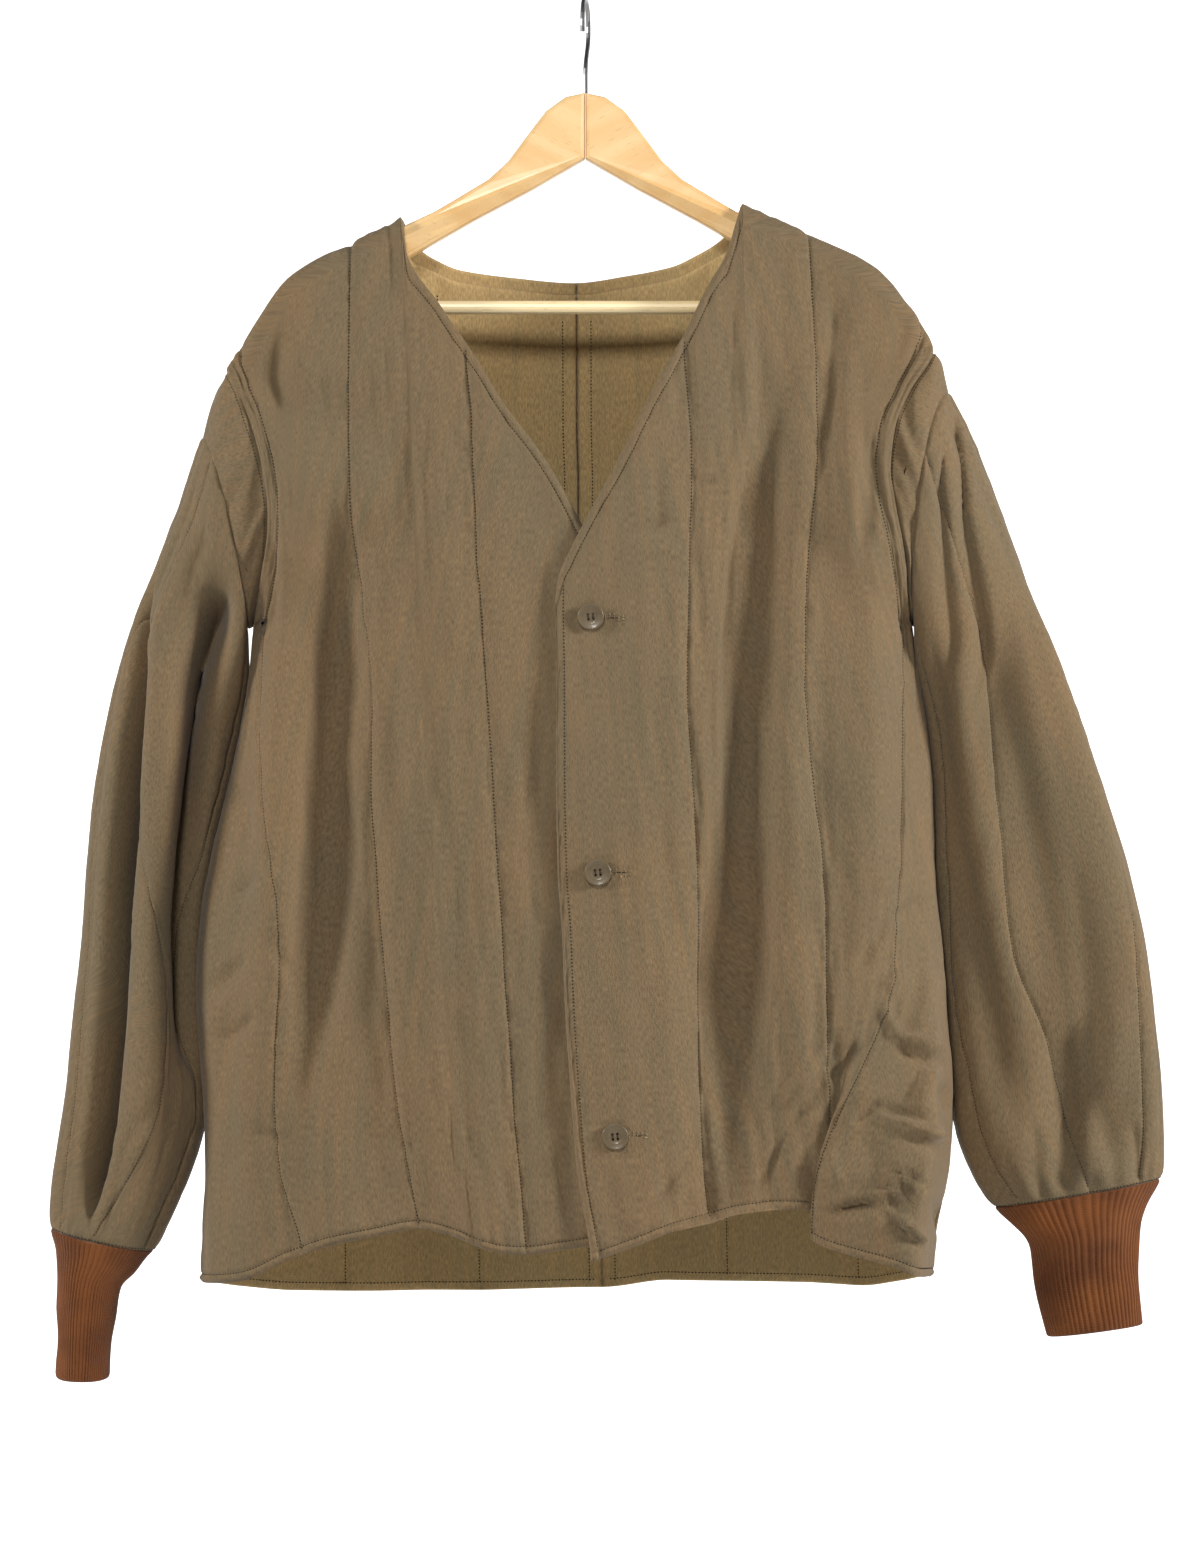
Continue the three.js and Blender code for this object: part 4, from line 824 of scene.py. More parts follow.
LEFT_SLEEVE_FOLDS = [
    (-8, 6, 14, [(0.2, 10), (1.2, 40), (1.7, 62), (3.6, 88)]),
    (-6, 7, 12, [(0.4, 52), (1.5, 88), (2.6, 106)]),
    (-9, 13, 16, [(1.2, 122), (3.5, 134), (6, 132), (9, 124), (11.6, 118)]),
    (-7, 5, 10, [(9.6, 82), (11.2, 86), (13, 98)]),
    (5, 12, 8, [(9.4, 54), (10.8, 66), (11.6, 78), (12.9, 84)]),
    (-12, 15, 15, [(1, -60), (12, -75)]), (-8, 14, 14, [(1, -112), (11, -122)]),
    # the smaller ones, in the cloth only
    (-2.5, 8, 8, [(7, 62), (9.5, 68), (12.6, 72)]), (-2.5, 4, 7, [(0.1, 26), (1.4, 30), (3, 34)]),
    (-2, 8, 8, [(6.5, 18), (12.9, 22)]), (-3, 4, 5, [(11.2, 104), (13, 112)]),
    (-2.5, 4, 4, [(11.6, 50), (13, 46)]),
    (1.8, 9, 9, [(3, 50), (8, 76), (11, 80)]), (7, 13, 15, [(3, 32), (13, 36)]),
    (-15, 22, 26, [(2.5, 86), (12.6, 82)]),
]
STATION_LENGTH = 43  # mm along a sleeve


def tube(rows):
    keyed = columns([(i, *row) for i, row in enumerate(rows)])

    def ring(station, angle, fold=0.0):
        out_x, out_drop, in_x, in_drop, front, back, middle, scoop = [line(station) for line in keyed]
        outer = np.stack([out_x, np.zeros_like(out_x), -out_drop], -1)
        inner = np.stack([in_x, np.zeros_like(in_x), -in_drop], -1)
        half = np.linalg.norm(outer - inner, axis=-1) / 2
        across = unit(outer - inner)
        c, s = np.cos(angle), np.sin(angle)
        depth = np.where(s > 0, front, back)
        squared = lambda value: np.sign(value) * np.abs(value) ** 0.88
        point = (outer + inner) / 2 + across * (half * squared(c))[..., None]
        point[..., 0] -= np.sign(out_x) * scoop * np.maximum(0, s)
        point[..., 1] = middle - depth * squared(s)
        normal = across * (c / half)[..., None]
        normal[..., 1] = -s / depth
        normal = unit(normal)
        return point + normal * np.asarray(fold)[..., None], normal

    return ring


def tube_normals(base):
    normal = unit(np.cross(np.gradient(base, axis=0), np.gradient(base, axis=1)))
    if ((base - base.mean(1, keepdims=True)) * normal).sum() < 0:
        normal = -normal
    normal[:, :1] = normal[:, -1:] = unit(normal[:, :1] + normal[:, -1:])
    return normal


def sleeve_folds(table, station, degrees):
    total = np.zeros_like(station)
    for height, outer, inner, path in table:
        along = (station - path[0][0]) / (path[-1][0] - path[0][0])
        window = smooth(0, 0.16, along) * (1 - smooth(0.84, 1, along))
        off = degrees - curve(path)(station)
        total += height * window * np.exp(-((off / np.where(off < 0, outer, inner)) ** 2))
    return total


# %% [markdown]
# A sleeve is quilted like the body, its seams run lengthwise, and at the wrist its fullness is gathered
# into the knit cuff. The gathers are small ridges that grow towards the seam.

# %% The sleeves
SLEEVE_CELLS = (14, 30, 32, 28, 18, 18, 14)


def sleeve(rows, lines, fold_table, gathers, seed):
    ring = tube(rows)
    outer_line, middle_line, inner_line = columns(lines)
    last_station = len(rows) - 1
    near = EDGE_STEPS / STATION_LENGTH
    station = np.concatenate([near, np.linspace(near[-1], last_station - near[-1], 160)[1:-1],
                              last_station - near[::-1]])
    stops = [np.full_like(station, 180.0), inner_line(station), middle_line(station), outer_line(station)]
    stops += [np.full_like(station, float(angle)) for angle in BACK_SLEEVE_LINES]
    stops.append(np.full_like(station, -180.0))
    degrees = [stops[0][:, None]]
    sewn = [0]
    for channel, count in enumerate(SLEEVE_CELLS):
        t = np.arange(1, count + 1) / count
        t = t - 0.6 * np.sin(2 * math.pi * t) / (2 * math.pi)
        degrees.append(mix(stops[channel][:, None], stops[channel + 1][:, None], t[None]))
        sewn.append(sewn[-1] + count)
    degrees = np.concatenate(degrees, 1)
    station = np.broadcast_to(station[:, None], degrees.shape)
    base, _ = ring(station, np.radians(degrees), sleeve_folds(fold_table, station, degrees))
    normal = tube_normals(base)
    across, down = arc(base, 1), arc(base, 0)
    from_top, from_end = down, down[-1:] - down
    near_line = np.full(degrees.shape, 60.0)
    for column in sewn:
        near_line = np.minimum(near_line, np.abs(across - across[:, column:column + 1]))
    share = (180 - degrees) / 360
    pucker = 0.8 * np.exp(-near_line / 8) * ring_noise(seed, share, 10, down / 6.5)
    soft = 0.8 * ring_noise(seed + 1, share, 8, down / 60) + 0.4 * ring_noise(seed + 2, share, 16, down / 30)
    gather = np.cos(gathers * 2 * math.pi * share + 1.6 * ring_noise(seed + 3, share, 16, down / 90))
    size = 0.6 + 0.4 * ring_noise(seed + 4, share, 12, 0 * down)
    soft += 2.0 * size * gather * np.exp(-from_end / 16) * (1 - np.exp(-from_end / 5))
    soft += 0.8 * size * gather * np.exp(-from_top / 14) * (1 - np.exp(-from_top / 5))
    height = quilted(near_line) * rounded(np.minimum(from_top, from_end), 14)
    height += (pucker + soft) * rounded(np.minimum(from_top, from_end), 9)
    height -= 0.9 * np.exp(-((np.minimum(from_top, from_end) / 2) ** 2))
    pinch = rounded(np.minimum(from_top, from_end), SEAM_RADIUS)
    outer, inner = wall(base - normal * CLOTH / 2, normal, CLOTH / 2 + height, CLOTH / 2, pinch)
    return dict(outer=outer, inner=inner, base=base, normal=normal, across=across, down=down, sewn=sewn,
                flat=np.stack([across + seed * 20, down], -1), ring=ring)


sleeve_right = sleeve(RIGHT_SLEEVE, RIGHT_SLEEVE_LINES, RIGHT_SLEEVE_FOLDS, 26, 61)
sleeve_left = sleeve(LEFT_SLEEVE, LEFT_SLEEVE_LINES, LEFT_SLEEVE_FOLDS, 24, 73)
SLEEVES = {"right": sleeve_right, "left": sleeve_left}
for side, made in SLEEVES.items():
    dress("sleeve_" + side, made, "_cloth", SHELL)

# %% [markdown]
# The band between the armhole and the sleeve starts at the same points as the panels' armhole edges, so
# the seam between them closes all the way round.

# %% The armhole bands
UNDERARM_ROW = len(EDGE_STEPS) + UPPER_ROWS - 1
BAND_GAP = 0.1
BAND_BULGE = 3


def band(side, front, back, ring, seed):
    out = -1 if side == "right" else 1
    last = UNDERARM_ROW
    join = lambda key: np.concatenate([front[key][last:0:-1, -1], back[key][0:last, -1]])
    edge, normal, drop = join("base"), join("normal"), join("drop")
    edge[0] = (edge[0] + back["base"][last, -1]) / 2
    in_front = np.where(np.arange(len(edge)) < last, 1, -1)
    angle = np.arccos(1 - 2 * armhole_share(drop, side)) * in_front
    centre = (edge[last] + edge[0]) / 2 + np.array([out * 40, 0, 0])
    inward = unit(np.cross(normal, np.roll(edge, -1, 0) - np.roll(edge, 1, 0)))
    inward = np.where(((centre - edge) * inward).sum(-1, keepdims=True) < 0, -inward, inward)
    start = edge + inward * BAND_GAP
    end, end_normal = ring(np.zeros_like(angle), angle)
    top, bottom = ring(np.zeros(2), np.array([0, math.pi]))[0]
    axis = unit(top - bottom)
    axis = np.array([-axis[2], 0, axis[0]])
    axis = -axis if axis[0] * out < 0 else axis
    end = end - axis * BAND_GAP
    closed = lambda values: np.concatenate([values, values[:1]])
    start, end, normal, end_normal, angle = map(closed, (start, end, normal, end_normal, angle))
    t = (1 - np.cos(np.linspace(0, math.pi, 34)))[:, None] / 2
    length = np.linalg.norm(end - start, axis=-1)[None]
    normals = unit(mix(normal[None], end_normal[None], t[..., None]))
    bulge = BAND_BULGE * np.sin(math.pi * t) * (0.5 + 0.5 * np.cos(angle / 2) ** 2)[None]
    base = mix(start[None], end[None], t[..., None]) + normals * bulge[..., None]
    from_edge = np.minimum(t, 1 - t) * length
    around = arc(base, 1)
    pucker = 1.3 * np.exp(-from_edge / 9) * noise(seed, around / 7, 3 * t + 0 * around)
    pucker += 3.2 * noise(seed + 1, (around + 0.8 * t * length) / 15, 1.5 * t + around / 60)
    fade = np.clip(length / 16, 0, 1) * rounded(from_edge, 6)
    fade = fade * (1 - np.exp(-((np.minimum(around, around[:, -1:] - around) / 8) ** 2)))
    height = pucker * fade - 0.9 * np.exp(-((from_edge / 2) ** 2))
    pinch = rounded(from_edge, SEAM_RADIUS)
    outer, inner = wall(base - normals * CLOTH / 2, normals, CLOTH / 2 + height, CLOTH / 2, pinch)
    return dict(outer=outer, inner=inner, base=base, normal=normals, across=around, down=t * length,
                flat=np.stack([around + seed * 20, t * length], -1))


band_right = band("right", front_right, back_right, sleeve_right["ring"], 83)
band_left = band("left", front_left, back_left, sleeve_left["ring"], 97)
BANDS = {"right": band_right, "left": band_left}
for side, made in BANDS.items():
    dress("armhole_band_" + side, made, "_cloth", SHELL)

# %% [markdown]
# The cuffs are a firm rib knit. Its ribs are raised on the outside: round ridges with narrow grooves
# between, about 2.5 mm apart at the wrist, and wider where the knit is stretched onto the sleeve.

# %% Rib knit
RIB_HEIGHT = 0.8
RIB_CELLS = 6
KNIT_HALF = 1  # half of the knit's wall between two ribs


def knit(name, color, dark):
    material, shader = new_finish(name, Roughness=0.92, Sheen_Weight=0.25, Sheen_Roughness=0.5)
    shader.inputs["Specular IOR Level"].default_value = 0.2
    flat = add(material, "UVMap", uv_map="cloth").outputs["UV"]
    place = add(material, "TexCoord").outputs["Object"]
    patches = add(material, "TexNoise", {"Vector": place, "Scale": 30.0, "Detail": 3.0})
    share = add(material, "MapRange", {"Value": patches.outputs["Fac"], "From Min": 0.3, "From Max": 0.7})
    tone = two_tones(material, share.outputs[0], dark, color)
    link(material, tone, shader.inputs["Base Color"])
    loops = add(material, "TexWave", {"Vector": flat, "Scale": 180.0, "Distortion": 1.5},
                bands_direction="Y")
    relief = add(material, "Bump", {"Height": loops.outputs["Fac"], "Strength": 0.5, "Distance": 0.0003})
    link(material, relief.outputs[0], shader.inputs["Normal"])
    return material


rib_knit = knit("rust_rib_knit", "79461f", "5a3114")


def cuff(rows, ribs, seed):
    ring = tube(rows)
    last = len(rows) - 1
    station = np.concatenate([[0, 0.01, 0.03, 0.06], np.linspace(0.1, last - 0.1, 22),
                              last - np.array([0.06, 0.03, 0.01, 0])])[:, None]
    angle = math.pi - np.linspace(0, 2 * math.pi, ribs * RIB_CELLS + 1)[None]
    base, _ = ring(station + 0 * angle, angle + 0 * station)
    normal = tube_normals(base)
    across, down = arc(base, 1), arc(base, 0)
    from_top, from_end = down, down[-1:] - down
    rib = np.abs(np.cos(ribs * angle / 2)) ** 0.7
    share = (math.pi - angle) / (2 * math.pi) + 0 * station
    wobble = ring_noise(seed, share, ribs // 3, down / 12)
    height = RIB_HEIGHT * (rib - 0.35) + 0.25 * wobble
    wave = 1.6 * ring_noise(seed + 1, share, 8, down / 26) * rounded(np.minimum(from_top, from_end), 12)
    pinch = rounded(from_end, 2.2) * rounded(from_top, 1.5)
    middle = base - normal * KNIT_HALF + normal * wave[..., None]
    outer, inner = wall(middle, normal, KNIT_HALF + height, KNIT_HALF, pinch)
    return dict(outer=outer, inner=inner, base=base, normal=normal, across=across, down=down,
                flat=np.stack([across, down], -1))


for side, made in {"right": cuff(RIGHT_CUFF, 66, 101), "left": cuff(LEFT_CUFF, 62, 113)}.items():
    dress("cuff_" + side, made, "_knit", [rib_knit, rib_knit])

# %% [markdown]
# The lining shows at the back of the neck and below the front hems. It lies just inside the back's wall,
# has the same quilting lines, and is a thin smooth cotton.

# %% The linings
LINING_GAP = 0.4
LINING = 1.2
LINING_FIRST_ROW = 10


def lining(made, seed):
    count = len(made["base"])
    rows = np.r_[LINING_FIRST_ROW:50, 50:count - 50:3, count - 50:count]
    base, normal = made["base"][rows], made["normal"][rows]
    across, down = arc(base, 1), arc(base, 0)
    near_line = made["near_line"][rows]
    rim = np.minimum(np.minimum(down, down[-1:] - down), np.minimum(across, across[:, -1:] - across))
    puff = 1.5 * (1 - np.exp(-((near_line / 8) ** 1.2))) - 0.5 * np.exp(-((near_line / 1.1) ** 2))
    pucker = 0.8 * np.exp(-near_line / 10) * noise(seed, down / 7, across / 30)
    pucker += 0.9 * noise(seed + 1, across / 24, down / 60)
    height = np.maximum((puff + pucker) * rounded(rim, 12), -0.3)
    pinch = rounded(rim, 1.2)
    middle = base - normal * (CLOTH + LINING_GAP + LINING / 2)
    hidden, seen = wall(middle, normal, LINING / 2, LINING / 2 + height, pinch)
    return dict(outer=seen, inner=hidden, base=middle, normal=-normal, across=across, down=down,
                shares=made["shares"], sewn=made["sewn"],
                flat=np.stack([across + 900, down], -1))


lining_right, lining_left = lining(back_right, 127), lining(back_left, 131)
LININGS = {"right": lining_right, "left": lining_left}
for side, made in LININGS.items():
    dress("back_lining_" + side, made, "_cloth", [lining_cloth, lining_cloth],
          BODY_STRAIGHT_FROM)

# %% [markdown]
# The quilting and the edges are machine stitched. A stitch is a short dark thread, a little sunk into the
# groove that it pulls, with its neighbour 2.5 mm on. They are placed along a line of points of the cloth.

# %% Stitches
STITCH_PITCH, STITCH_LENGTH, STITCH_WIDTH = 2.5, 1.7, 1.2
ROW_OF_STITCHES = 24  # sewn in a small mesh, which is quick to add to


def lay_stitch(row, point, along, out, length, width):
    place = Matrix.Identity(4)
    place.col[0][:3] = along * length * MM
    place.col[1][:3] = np.cross(out, along) * width * MM
    place.col[2][:3] = out * 0.7 * MM
    place.col[3][:3] = point * MM
    return bmesh.ops.create_uvsphere(row, u_segments=4, v_segments=2, radius=0.5, matrix=place)["verts"]


def sew(total, points, normals):
    steps = np.concatenate([[0], np.cumsum(np.linalg.norm(np.diff(points, axis=0), axis=-1))])
    places = np.arange(STITCH_PITCH, steps[-1] - STITCH_PITCH, STITCH_PITCH)
    at = lambda where, values: np.stack([np.interp(where, steps, values[:, k]) for k in range(3)], -1)
    middle, up = at(places, points), unit(at(places, normals))
    tangent = unit(at(places + 0.6, points) - at(places - 0.6, points))
    mesh = bpy.data.meshes.new("row")
    for first in range(0, len(places), ROW_OF_STITCHES):
        row = bmesh.new()
        some = slice(first, first + ROW_OF_STITCHES)
        for point, along, out in zip(middle[some] + up[some] * 0.15, tangent[some], up[some]):
            lay_stitch(row, point, along, out, STITCH_LENGTH, STITCH_WIDTH)
        row.to_mesh(mesh)
        row.free()
        total.from_mesh(mesh)
    bpy.data.meshes.remove(mesh)


# %% [markdown]
# Rows run down the quilting lines and 6 mm in from the neck, the hem and the front edges. One goes round
# each wrist and one round each armhole.

# %% Rows of stitches
EDGE_COLUMN = 8  # the grid's line 6 mm in from an edge
NECK_LINE = 2  # where a panel's neckline ends


def column_of(made, line):
    return int(np.argmin(np.abs(made["shares"] - line)))


def quilting(made):
    return [(slice(4, -4), column_of(made, line)) for line in made["sewn"]]


def sew_rows(name, made, runs):
    total = bmesh.new()
    for run in runs:
        sew(total, made["outer"][run], made["normal"][run])
    for face in total.faces:
        face.smooth = True
    piece = finish_piece(name + "_stitches", total, [thread_finish])


for name, made in PANELS.items():
    first = EDGE_COLUMN if name.startswith("front") else 0
    runs = quilting(made) + [(EDGE_COLUMN, slice(first, column_of(made, NECK_LINE) - 3)),
                             (-1 - EDGE_COLUMN, slice(first, -3))]
    if name.startswith("front"):
        runs.append((slice(EDGE_COLUMN, -EDGE_COLUMN), EDGE_COLUMN))
    sew_rows(name, made, runs)
for side, made in SLEEVES.items():
    sew_rows("sleeve_" + side, made, [(slice(8, -6), column) for column in made["sewn"][1:-1]]
             + [(-5, slice(None))])
for side, made in LININGS.items():
    runs = quilting(made) + [(slice(5, -5), 5), (-1 - EDGE_COLUMN, slice(2, -3))]
    sew_rows("back_lining_" + side, made, runs)
for side, made in BANDS.items():
    sew_rows("armhole_band_" + side, made, [(6, slice(None))])

# %% [markdown]
# The buttons are pressed plastic with a raised rim and four holes, sewn on with two bars of dark thread.
# Each stands in a worked buttonhole, a slit with pale satin stitches round it and a bar at its end.

# %% Buttons and buttonholes
BUTTON_HOLE, BUTTON_HOLE_PITCH = 0.95, 2.4
BUTTONHOLES = [((13, 442), (27, 443)), ((18, 619), (31, 621)), ((30, 802), (42, 801))]
button_plastic, shader = new_finish("olive_button_plastic", Roughness=0.36, Coat_Weight=0.15)
place = add(button_plastic, "TexCoord").outputs["Object"]
marbling = add(button_plastic, "TexNoise", {"Vector": place, "Scale": 160.0, "Detail": 3.0})
tone = two_tones(button_plastic, marbling.outputs["Fac"], "5a4d38", "6e5f48")
link(button_plastic, tone, shader.inputs["Base Color"])
worn = add(button_plastic, "MapRange", {"Value": marbling.outputs["Fac"], "To Min": 0.28, "To Max": 0.5})
link(button_plastic, worn.outputs[0], shader.inputs["Roughness"])
hole_thread, shader = new_finish("pale_buttonhole_thread", Roughness=0.75)
shader.inputs["Base Color"].default_value = hex_color("c0b18f")


def turned(profile, segments=56):
    # a profile of (radius, height) spun about Z, from one point on the axis to another
    bm = bmesh.new()
    verts = bmesh.ops.create_circle(bm, segments=segments, radius=profile[1][0])["verts"]
    ring = list(verts)
    for vert in ring:
        vert.co.z = profile[1][1]
    first = list(ring)
    for radius, height in profile[2:-1]:
        edges = [edge for edge in bm.edges if all(vert in ring for vert in edge.verts)]
        grown = bmesh.ops.extrude_edge_only(bm, edges=edges)["geom"]
        before, ring = ring, [part for part in grown if isinstance(part, bmesh.types.BMVert)]
        for vert in ring:
            scale = radius / math.hypot(vert.co.x, vert.co.y)
            vert.co = (vert.co.x * scale, vert.co.y * scale, height)
    bmesh.ops.contextual_create(bm, geom=first)
    bmesh.ops.contextual_create(bm, geom=ring)
    bmesh.ops.recalc_face_normals(bm, faces=bm.faces)
    return bm


BUTTON_PROFILE = [
    (0, -1.5), (7.4, -1.5), (8.7, -1.15), (9.3, -0.35), (9.25, 0.5), (8.95, 1.15), (8.5, 1.4), (8.05, 1.25),
    (7.6, 1.0), (5.2, 0.95), (4.7, 0.85), (4.2, 0.6), (3.9, 0.5), (0, 0.5),
]


def nearest(made, x, drop):
    # the cloth's outer point and normal at a place seen from the front
    off = (made["outer"][..., 0] - x) ** 2 + (made["outer"][..., 2] + drop) ** 2
    index = np.unravel_index(off.argmin(), off.shape)
    return made["outer"][index], made["normal"][index]


# %% [markdown]
# The four holes are cut through the turned blank, a little turned from square.

# %% The buttons
BUTTON_TURN = 0.12


def drilled(blank):
    cutter = bmesh.new()
    for k in range(4):
        angle = math.pi / 4 + k * math.pi / 2 + BUTTON_TURN
        at = Matrix.Translation((BUTTON_HOLE_PITCH * math.cos(angle), BUTTON_HOLE_PITCH * math.sin(angle), 0))
        bmesh.ops.create_cone(cutter, cap_ends=True, segments=20, radius1=BUTTON_HOLE, radius2=BUTTON_HOLE,
                              depth=6, matrix=at)
    items = []
    for name, bm in [("blank", blank), ("cutter", cutter)]:
        mesh = bpy.data.meshes.new(name)
        bm.to_mesh(mesh)
        bm.free()
        items.append(bpy.data.objects.new(name, mesh))
        bpy.context.scene.collection.objects.link(items[-1])
    items[0].modifiers.new("holes", "BOOLEAN").object = items[1]
    bpy.context.view_layer.update()
    cut = bpy.data.meshes.new_from_object(items[0].evaluated_get(bpy.context.evaluated_depsgraph_get()))
    done = bmesh.new()
    done.from_mesh(cut)
    bpy.data.meshes.remove(cut)
    for item in items:
        mesh = item.data
        bpy.data.objects.remove(item)
        bpy.data.meshes.remove(mesh)
    return done


def button(name, centre):
    bm = drilled(turned(BUTTON_PROFILE))
    upright = Matrix.Rotation(math.pi / 2, 4, "X") @ Matrix.Scale(MM, 4)
    bmesh.ops.transform(bm, matrix=Matrix.Translation(Vector(centre * MM)) @ upright, verts=bm.verts)
    for face in bm.faces:
        face.smooth = len(face.verts) == 4
    piece = finish_piece(name + "_turned", bm, [button_plastic])
    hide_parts(name)


# %% [markdown]
# The button's two bars of thread are dark, and a dark strip of the same thread lies along the buttonhole's
# slit as painted shade in the opening. The satin stitches round the slit stand across it, six more make the
# bar at its end, and all are one small piece for each button.

# %% The buttonholes
LENGTHWISE, SIDEWAYS, FORWARD = np.array([0, 0, 1]), np.array([1, 0, 0]), np.array([0, -1, 0])


def buttonhole(name, centre, start, end):
    total, dark = bmesh.new(), []
    (x0, drop0), (x1, drop1) = start, end
    for side in (-1, 1):
        pair = centre + np.array([side * BUTTON_HOLE_PITCH * math.sin(math.pi / 4), -0.6, 0])
        dark += lay_stitch(total, pair, LENGTHWISE, FORWARD, 4.6, 1.2)
    for side in (-1, 1):
        for t in np.linspace(0, 1, 20):
            point, normal = nearest(front_left, mix(x0, x1, t), mix(drop0, drop1, t) + side * 1.2)
            lay_stitch(total, point + normal * 0.3, np.array([0.1 * side, 0, 1]), normal, 2.1, 0.8)
    for lift in np.linspace(-1.9, 1.9, 6):
        point, normal = nearest(front_left, x1 + 0.5, drop1 + lift)
        lay_stitch(total, point + normal * 0.45, SIDEWAYS, normal, 2.4, 0.8)
    # a dark strip along the slit: painted shade in the opening
    point, normal = nearest(front_left, mix(x0, x1, 0.45), mix(drop0, drop1, 0.5))
    dark += lay_stitch(total, point + normal * 0.25, SIDEWAYS, normal, x1 - x0, 0.7)
    for face in {face for vert in dark for face in vert.link_faces}:
        face.material_index = 1
    for face in total.faces:
        face.smooth = True
    piece = finish_piece(name + "_thread", total, [hole_thread, thread_finish])


for number, (start, end) in enumerate(BUTTONHOLES, 1):
    name = f"button_{number}"
    low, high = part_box(name)
    centre = (np.array(low) + np.array(high)) / 2 / MM
    button(name, centre)
    buttonhole(name, centre, start, end)

# %% [markdown]
# The hanger is pale beech with a clear satin lacquer: long soft grain along each arm, short dark flecks,
# and a slightly redder band where the late wood shows. The hook is plain bright steel wire.

# %% Hanger finishes
def beech(name, tilt, early="ecc78f", late="e2b679"):
    material, shader = new_finish(name, Roughness=0.38, Coat_Weight=0.3, Coat_Roughness=0.25)
    place = add(material, "TexCoord").outputs["Object"]
    turned_to = add(material, "Mapping", {"Vector": place, "Rotation": (0.0, math.radians(tilt), 0.0)})
    long = add(material, "Mapping", {"Vector": turned_to.outputs[0], "Scale": (3.0, 30.0, 30.0)})
    bands = add(material, "TexNoise", {"Vector": long.outputs[0], "Scale": 1.6, "Detail": 3.0,
                                       "Distortion": 0.6})
    short = add(material, "Mapping", {"Vector": turned_to.outputs[0], "Scale": (120.0, 900.0, 900.0)})
    flecks = add(material, "TexNoise", {"Vector": short.outputs[0], "Scale": 1.0, "Detail": 2.0})
    share = add(material, "MapRange", {"Value": bands.outputs["Fac"], "From Min": 0.35, "From Max": 0.65})
    tone = two_tones(material, share.outputs[0], early, late)
    spots = add(material, "MapRange", {"Value": flecks.outputs["Fac"], "From Min": 0.62, "From Max": 0.74,
                                       "To Min": 0.0, "To Max": 0.35})
    mixed = add(material, "Mix", {"Factor": spots.outputs[0]}, data_type="RGBA")
    link(material, tone, mixed.inputs[6])
    mixed.inputs[7].default_value = hex_color("a9743f")
    link(material, mixed.outputs[2], shader.inputs["Base Color"])
    relief = add(material, "Bump", {"Height": flecks.outputs["Fac"], "Strength": 0.2, "Distance": 0.0002})
    link(material, relief.outputs[0], shader.inputs["Normal"])
    return material


steel_wire, shader = new_finish("bright_steel_wire", Metallic=1.0)
place = add(steel_wire, "TexCoord").outputs["Object"]
drawn = add(steel_wire, "TexNoise", {"Vector": place, "Scale": 400.0, "Detail": 2.0})
gloss = add(steel_wire, "MapRange", {"Value": drawn.outputs["Fac"], "To Min": 0.22, "To Max": 0.42})
link(steel_wire, gloss.outputs[0], shader.inputs["Roughness"])
shader.inputs["Base Color"].default_value = hex_color("b4b6b8")
# The trouser bar's beech is paler than the arms': painted light that makes up for the shade on it inside the
# jacket.
finishes = {
    "hanger_arm_left": beech("beech_left_arm", 28), "hanger_arm_right": beech("beech_right_arm", -28),
    "trouser_bar": beech("beech_bar_painted_light", 0, "fdebc0", "f6dba6"), "hook": steel_wire,
}
for node, material in finishes.items():
    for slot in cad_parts[node].material_slots:
        slot.material = material

# %% [markdown]
# Two boxes of soft light at the sides and a weaker one in front leave the hollows dark, as in the
# photograph. The backdrop glows a little, so that it is white behind the jacket, and the floor is pale.

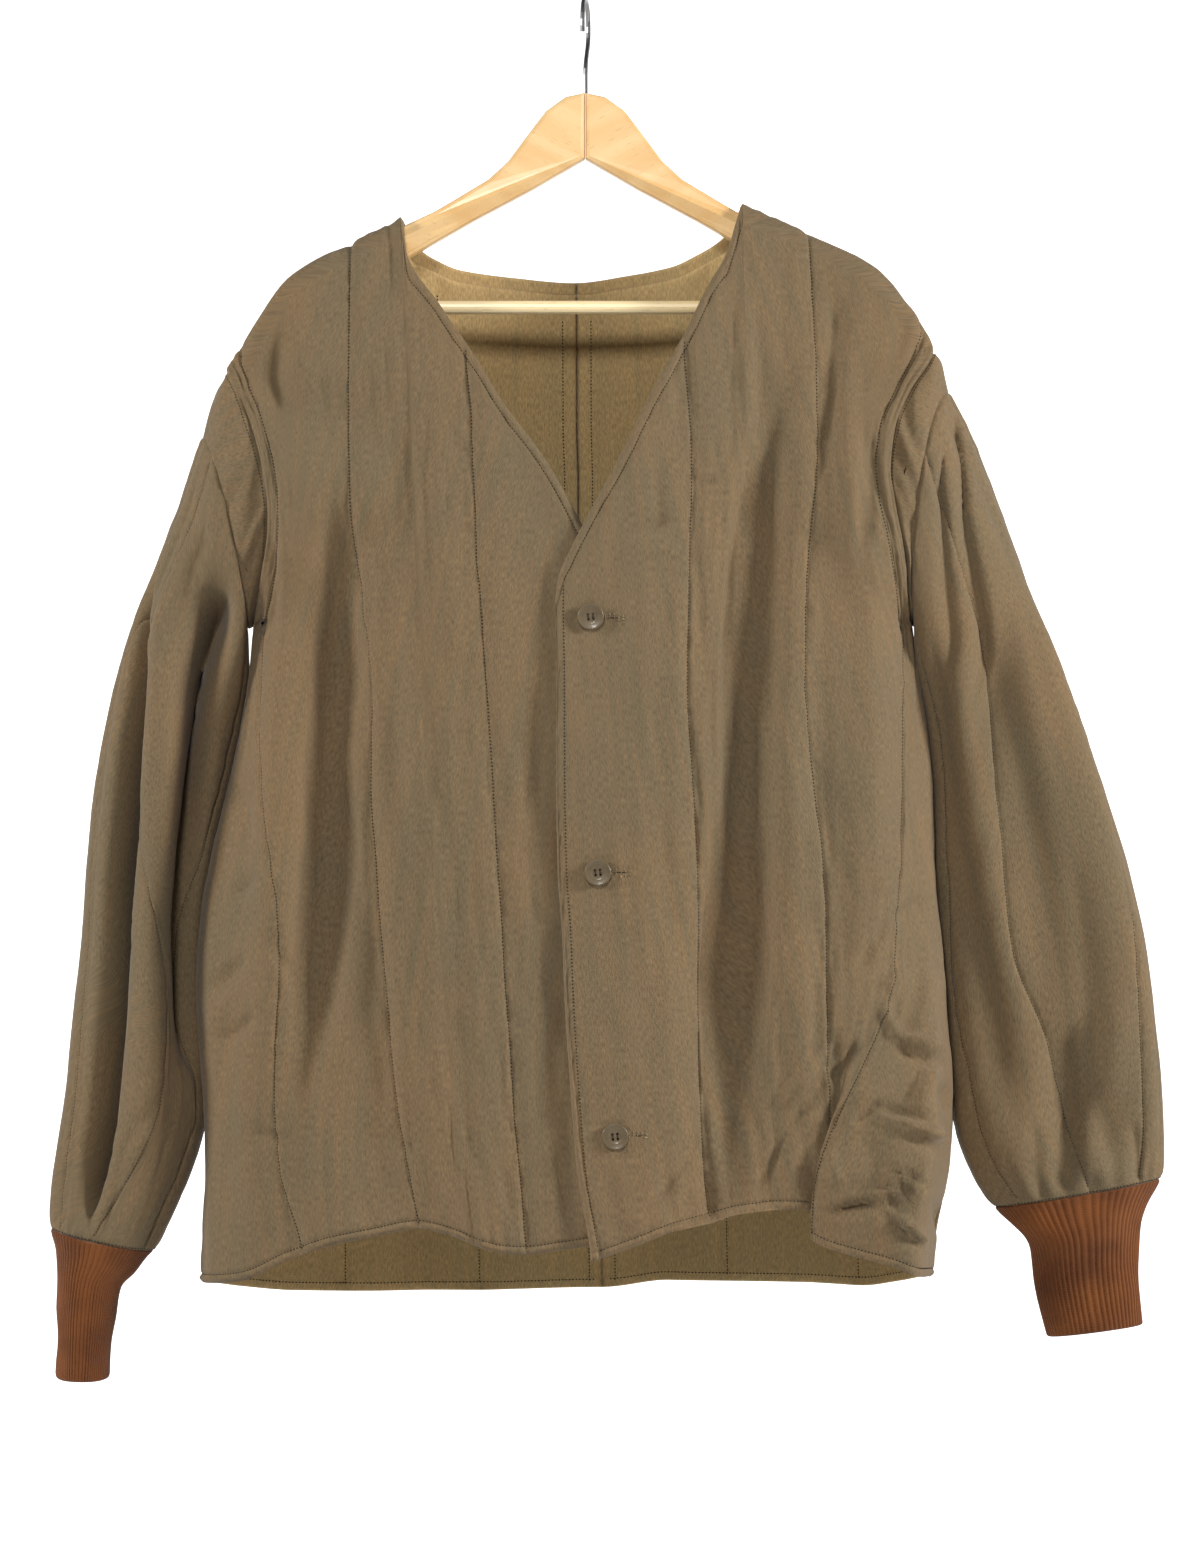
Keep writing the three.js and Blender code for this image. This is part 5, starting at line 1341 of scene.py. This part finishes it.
# %% Floor and light
def area_light(name, place, aim, size, power, color):
    data = bpy.data.lights.new(name, "AREA")
    data.size, data.energy, data.color = size, power, color
    lamp = bpy.data.objects.new(name, data)
    lamp.location = place
    lamp.rotation_euler = (Vector(aim) - Vector(place)).to_track_quat("-Z", "Y").to_euler()
    bpy.context.scene.collection.objects.link(lamp)


bpy.context.scene.view_settings.view_transform = "Standard"
# name, place, aim, size, power, color
area_light("left_box", (-3.0, -1.0, 0.4), (0, 0, -0.5), 0.7, 74, (1.0, 0.98, 0.95))
area_light("right_box", (3.0, -1.1, 0.4), (0, 0, -0.5), 0.7, 116, (1.0, 0.98, 0.95))
area_light("front_box", (-0.5, -2.9, 1.2), (0, 0, -0.45), 0.6, 52, (1.0, 0.99, 0.97))
AMBIENT = 0.05
world = bpy.data.worlds.new("studio")
world.use_nodes = True
background = world.node_tree.nodes["Background"]
background.inputs["Color"].default_value = (1, 1, 1, 1)
background.inputs["Strength"].default_value = AMBIENT
bpy.context.scene.world = world


def stage_plane(name, corners, material):
    bm = bmesh.new()
    made = bmesh.ops.create_grid(bm, x_segments=1, y_segments=1, size=1)["verts"]
    for vert, corner in zip(sorted(made, key=lambda v: (v.co.y, v.co.x)), corners):
        vert.co = corner
    mesh = bpy.data.meshes.new(name)
    bm.to_mesh(mesh)
    bm.free()
    mesh.materials.append(material)
    plane = bpy.data.objects.new(name, mesh)
    bpy.context.scene.collection.objects.link(plane)


backdrop_paper, shader = new_finish("white_backdrop_paper", Roughness=0.9)
shader.inputs["Base Color"].default_value = (0.9, 0.9, 0.9, 1)
shader.inputs["Emission Color"].default_value = (1, 1, 1, 1)
shader.inputs["Emission Strength"].default_value = 0.85
floor_paper, shader = new_finish("pale_floor_paper", Roughness=0.9)
shader.inputs["Base Color"].default_value = (0.7, 0.7, 0.7, 1)
BACKDROP_Y, BACKDROP_HALF, BACKDROP_TOP = 3.4, 3, 2
FLOOR_Z, FLOOR_HALF = -1.8, 4
stage_plane("backdrop", [(x, BACKDROP_Y, z) for z in (FLOOR_Z, BACKDROP_TOP)
                         for x in (-BACKDROP_HALF, BACKDROP_HALF)], backdrop_paper)
stage_plane("floor", [(x, y, FLOOR_Z) for y in (-FLOOR_HALF, BACKDROP_Y)
                      for x in (-FLOOR_HALF, FLOOR_HALF)], floor_paper)
